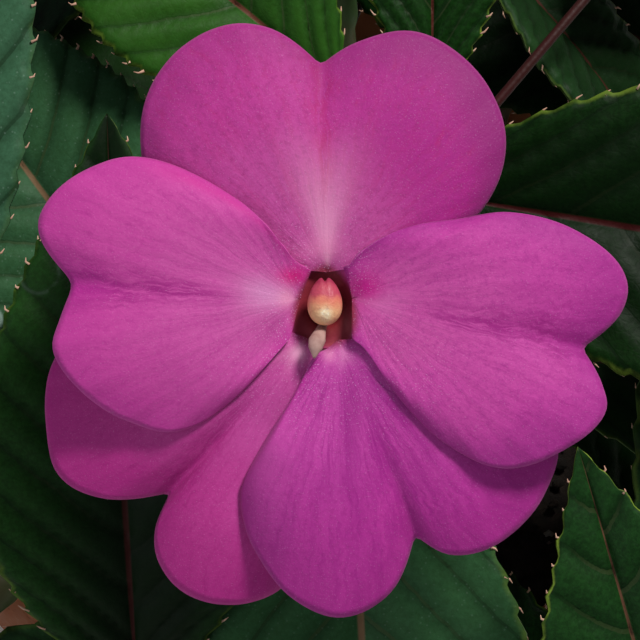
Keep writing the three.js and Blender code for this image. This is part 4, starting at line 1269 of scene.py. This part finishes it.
def makeSepal(place):
    whole, part, name = bmesh.new(), bmesh.new(), place["name"]
    spinProfile(part, sepalMake["cup"], 1, sepalMake["cupAround"])
    faceMap = part.loops.layers.uv.new("face")
    for face in part.faces:
        middle = face.calc_center_median()
        inside = middle.z > cupBack + 3 and math.hypot(middle.x, middle.y) < 3.6
        face.material_index = 2 if inside and face.normal.dot((*middle.xy, -9)) < 0 else 0
        for loop in face.loops:
            loop[faceMap].uv = (0.5, 0.5)
    x, y, z = spotsOf(part.verts).T
    moveTo(part.verts, placePoint(place, x * sepalMake["cupNarrow"], y, z))
    faceOutwards(part)
    addTo(whole, part)
    pushCurve(whole, spurPoints(place), sepalMake["spurRadii"], 7, 12, 0, place["size"])
    pushCurve(whole, placePoints(place, sepalMake["lip"]), sepalMake["lipRadii"], 6, 18, 1, place["size"],
              flat=sepalMake["lipFlat"], across=place["right"])
    slots = ["sepal", "lip", "throat"]
    return finishPiece(whole, f"bloomSepal_{name}", f"bloom_{name}_spurred_sepal", slots)


columnMake = {
    "halfWidth": 1.9, "halfDepth": 1.7, "halfHeight": 2.7, "notch": 0.55, "seam": 0.06, "around": 36, "levels": 26,
    "stalk": [(0, 0, cupBack + 4), (0, 0.2, -5), (0, 0.2, 0)], "stalkRadii": [0.9, 1, 1],
}


def makeColumn(place):
    whole, name = bmesh.new(), place["name"]
    faceMap = whole.loops.layers.uv.new("face")
    egg = bmesh.ops.create_uvsphere(whole, u_segments=columnMake["around"], v_segments=columnMake["levels"],
                                    radius=1)["verts"]
    across, deep, up = spotsOf(egg).T
    narrow = 1 - 0.18 * up - 0.06 * np.clip(up, 0, 1) ** 2
    notch = columnMake["notch"] * np.exp(-((across / 0.17) ** 2)) * np.clip(up, 0, 1) ** 4
    seam = 1 - columnMake["seam"] * np.exp(-((across / 0.1) ** 2))
    x = across * columnMake["halfWidth"] * narrow + 0.1
    y = up * columnMake["halfHeight"] - notch - 0.1
    moveTo(egg, placePoint(place, x, y, -deep * columnMake["halfDepth"] * narrow * seam + 0.3))
    writeFaceMap(egg, faceMap, x, y)
    faceOutwards(whole)
    pushCurve(whole, placePoints(place, columnMake["stalk"]), columnMake["stalkRadii"], 4, 12, 1, place["size"])
    return finishPiece(whole, f"bloomColumn_{name}", f"bloom_{name}_column", ["column", "columnStalk"])


budMake = {
    "radius": 4.4, "half": 8, "around": 64, "levels": 36, "rolled": 3, "twist": 1.9, "step": 0.13, "hook": 0.88,
    "curlRadii": [1.5, 1, 0.8, 0.5], "sepalRadii": [0.7, 1.7, 1.5, 0.12], "sepalFlat": 0.26,
    "sepal": [(1.6, 0.4, -8.2), (4.2, 0.8, -6.2), (5.3, 1.0, -3.4), (5.3, 1.2, -0.6)],
}


def makeBud(bud, number):
    whole = bmesh.new()
    rollMap, alongLayer = whole.loops.layers.uv.new("roll"), whole.verts.layers.float.new("along")
    egg = bmesh.ops.create_uvsphere(whole, u_segments=budMake["around"], v_segments=budMake["levels"],
                                    radius=1)["verts"]
    x, y, along = spotsOf(egg).T
    turn = np.arctan2(y, x) + budMake["twist"] * along
    # the petals are rolled round each other, so each one's edge stands over the next
    over, hook = (turn / (2 * np.pi) * budMake["rolled"]) % 1, budMake["hook"]
    step = np.where(over < hook, over / hook, (1 - over) / (1 - hook)) - 0.5
    pointed = 1 - 0.25 * along - 0.12 * np.clip(along, 0, 1) ** 3
    narrow = budMake["radius"] * pointed * (0.96 + budMake["step"] * step * (1 - along**8))
    moveTo(egg, placePoint(bud, x * narrow, y * narrow, along * budMake["half"]))
    writeMap(egg, rollMap, 0.5 + 0.45 * np.cos(turn), 0.5 + 0.45 * np.sin(turn))
    for vert, share in zip(egg, along / 2 + 0.5):
        vert[alongLayer] = share
    faceOutwards(whole)
    pushCurve(whole, budCurl(bud), budMake["curlRadii"], 8, 12, 1)
    for side in (-1, 1):
        # a small green sepal on each side of the foot
        path = placePoints(bud, [(side * x, y, z) for x, y, z in budMake["sepal"]])
        pushCurve(whole, path, budMake["sepalRadii"], 5, 10, 2, flat=budMake["sepalFlat"], across=bud["up"])
    return finishPiece(whole, f"bud{number}", f"bud_{number}", ["bud", "sepal", "stem"])


# Pot and soil


def potRadius(z):
    return pot["footRadius"] + (pot["rimRadius"] - pot["collarProud"] - pot["footRadius"]) * z / pot["height"]


def makePot():
    bm = bmesh.new()
    foot, rim, wall, height = pot["footRadius"], pot["rimRadius"], pot["wall"], pot["height"]
    collarFoot = height - pot["collarHeight"]
    profile = [(0, 0), (foot - 2.2, 0), (foot - 0.6, 0.5), (foot, 2)]
    profile += [(potRadius(z), z) for z in np.linspace(8, collarFoot - 2, 12)]
    profile += [
        (potRadius(collarFoot), collarFoot - 0.3), (rim - 1.6, collarFoot + 0.6), (rim - 0.4, collarFoot + 1.6),
        (rim, collarFoot + 3.2), (rim, collarFoot + 10), (rim, height - 3), (rim - 0.5, height - 1.2),
        (rim - 1.8, height - 0.2), (rim - 3, height), (rim - wall + 1, height - 0.2),
        (rim - wall - 0.6, height - 1.2), (rim - wall - 2, height - 3), (potRadius(collarFoot) - wall, collarFoot),
        (potRadius(40) - wall, 40), (potRadius(pot["floor"]) - wall, pot["floor"] + 1),
        (potRadius(0) - wall - 2, pot["floor"]), (0, pot["floor"]),
    ]
    spinProfile(bm, profile, mm, pot["around"])
    for vert in bm.verts:
        # unevenness of a plain pot, above its foot
        turn = math.atan2(vert.co.y, vert.co.x)
        aside = 1 + 0.0016 * math.sin(3 * turn + 20 * vert.co.z) * (vert.co.z > 0.004)
        vert.co.x, vert.co.y = vert.co.x * aside, vert.co.y * aside
    piece = finishPiece(bm, "clayPot", "pot", ["clay"])
    for i in range(pot["drainHoles"]):
        cutDrainHole(piece, math.radians(90 + i * 360 / pot["drainHoles"]))
    return piece


def cutDrainHole(piece, turn):
    bm = bmesh.new()
    middle = Vector((pot["drainRing"] * math.cos(turn), pot["drainRing"] * math.sin(turn), pot["floor"] / 2)) * mm
    radius = pot["drainRadius"] * mm
    bmesh.ops.create_cone(bm, cap_ends=True, segments=28, radius1=radius, radius2=radius, depth=12 * mm,
                          matrix=Matrix.Translation(middle))
    drill = meshObject(bm, "drill")
    cut = piece.modifiers.new("drainHole", "BOOLEAN")
    cut.object, cut.operation, cut.solver = drill, "DIFFERENCE", "EXACT"
    with bpy.context.temp_override(object=piece, active_object=piece, selected_objects=[piece]):
        bpy.ops.object.modifier_apply(modifier=cut.name)
    bpy.data.objects.remove(drill)


def makeSoil():
    bm = bmesh.new()
    inner = potRadius(soilTop) - pot["wall"] - 0.6
    floorZ = pot["floor"] + soil["gap"] + 0.3
    profile = [(0, floorZ), (potRadius(floorZ) - pot["wall"] - 1.2, floorZ),
               (potRadius(80) - pot["wall"] - 0.6, 80), (inner - 0.4, soilTop - 2.4)]
    profile += [(inner - 1 - share * (inner - 1), soilTop - 1.2 * (1 - share) ** 3 + 1.0 * share)
                for share in np.linspace(0, 1, 34)]
    spinProfile(bm, profile, mm, soil["around"])
    for vert in bm.verts:
        x, y, z = vert.co / mm
        if z > soilTop - 2 and math.hypot(x, y) < inner - 1.5:
            lumps = math.sin(x * 0.9 + 2 * math.sin(y * 0.7)) + math.sin(y * 1.1 + 1.7 * math.sin(x * 0.8))
            vert.co.z += (0.45 * lumps + 0.35 * math.sin(x * 2.7 + y * 1.9)) * mm
    crumbs = np.random.default_rng(77)
    for i in range(soil["crumbs"]):
        turn, ring = crumbs.uniform(0, 2 * math.pi), (inner - 3) * math.sqrt(crumbs.uniform(0, 1))
        size = crumbs.uniform(0.5, 1.6)
        matrix = Matrix.Translation((ring * math.cos(turn) * mm, ring * math.sin(turn) * mm, (soilTop + 0.9) * mm))
        matrix = matrix @ Matrix.Rotation(crumbs.uniform(0, 6), 4, Vector(crumbs.normal(size=3)))
        matrix = matrix @ Matrix.Diagonal((size * mm, size * 0.8 * mm, size * 0.6 * mm, 1))
        made = bmesh.ops.create_icosphere(bm, subdivisions=1, radius=1, matrix=matrix)["verts"]
        for face in {face for vert in made for face in vert.link_faces}:
            face.material_index = 1 if i % 11 == 0 else 0
    return finishPiece(bm, "pottingSoil", "soil", ["soil", "perlite"])


makePot()
makeSoil()
print("pot and soil made")
for stem in stems:
    makeLeafyStem(stem)
print("leafy stems made")
for place in places:
    makePetals(place)
    makeSepal(place)
    makeColumn(place)
print("blooms made")
for i, bud in enumerate(budPlaces):
    makeBud(bud, i + 1)
print("buds made")

# Floor, light and camera, in metres

stage = {
    "floor": 6, "floorColour": (0.80, 0.79, 0.77), "world": (0.80, 0.84, 0.90), "worldStrength": 0.22,
    "keyLight": {"place": (0.40, 0.16, 1.15), "size": 0.22, "power": 12.0, "colour": (1.0, 0.97, 0.93)},
    "fillLight": {"place": (-0.9, -0.9, 0.9), "size": 1.2, "power": 5.0, "colour": (0.93, 0.96, 1.0)},
    "viewCentre": (-0.44, -2.2, 0), "viewDistance": 0.30, "viewWidth": 0.0706, "sensor": 36,
}


def makeFloor():
    bm = bmesh.new()
    bmesh.ops.create_grid(bm, x_segments=1, y_segments=1, size=stage["floor"] / 2)
    floor = meshObject(bm, "floor")
    floor.data.materials.append(dress(newMaterial("paleFloor"), stage["floorColour"], 0.8, 0.5))


def makeLight(name):
    look, light = stage[name], bpy.data.lights.new(name, "AREA")
    light.size, light.energy, light.color = look["size"], look["power"], look["colour"]
    lamp = addObject(name, light)
    lamp.location = look["place"]
    aim = Vector(front["centre"] * mm * 0.7) - Vector(look["place"])
    lamp.rotation_euler = aim.to_track_quat("-Z", "Y").to_euler()


def makeWorld():
    world = bpy.data.worlds.new("studio")
    world.use_nodes = True
    sky = world.node_tree.nodes["Background"]
    sky.inputs["Color"].default_value = (*stage["world"], 1)
    sky.inputs["Strength"].default_value = stage["worldStrength"]
    bpy.context.scene.world = world


def makeCamera():
    facing = Vector(front["facing"])
    centre = Vector(placePoint(front, *stage["viewCentre"])) * mm
    camera = addObject("camera", bpy.data.cameras.new("camera"))
    camera.location = centre + facing * stage["viewDistance"]
    camera.rotation_euler = facing.to_track_quat("Z", "Y").to_euler()
    camera.data.sensor_width = stage["sensor"]
    camera.data.lens = stage["sensor"] * stage["viewDistance"] / stage["viewWidth"]
    camera.data.clip_start = 0.01
    bpy.context.scene.camera = camera


makeFloor()
makeWorld()
makeLight("keyLight")
makeLight("fillLight")
makeCamera()
bpy.context.scene.view_settings.view_transform = "Standard"

bpy.context.view_layer.update()
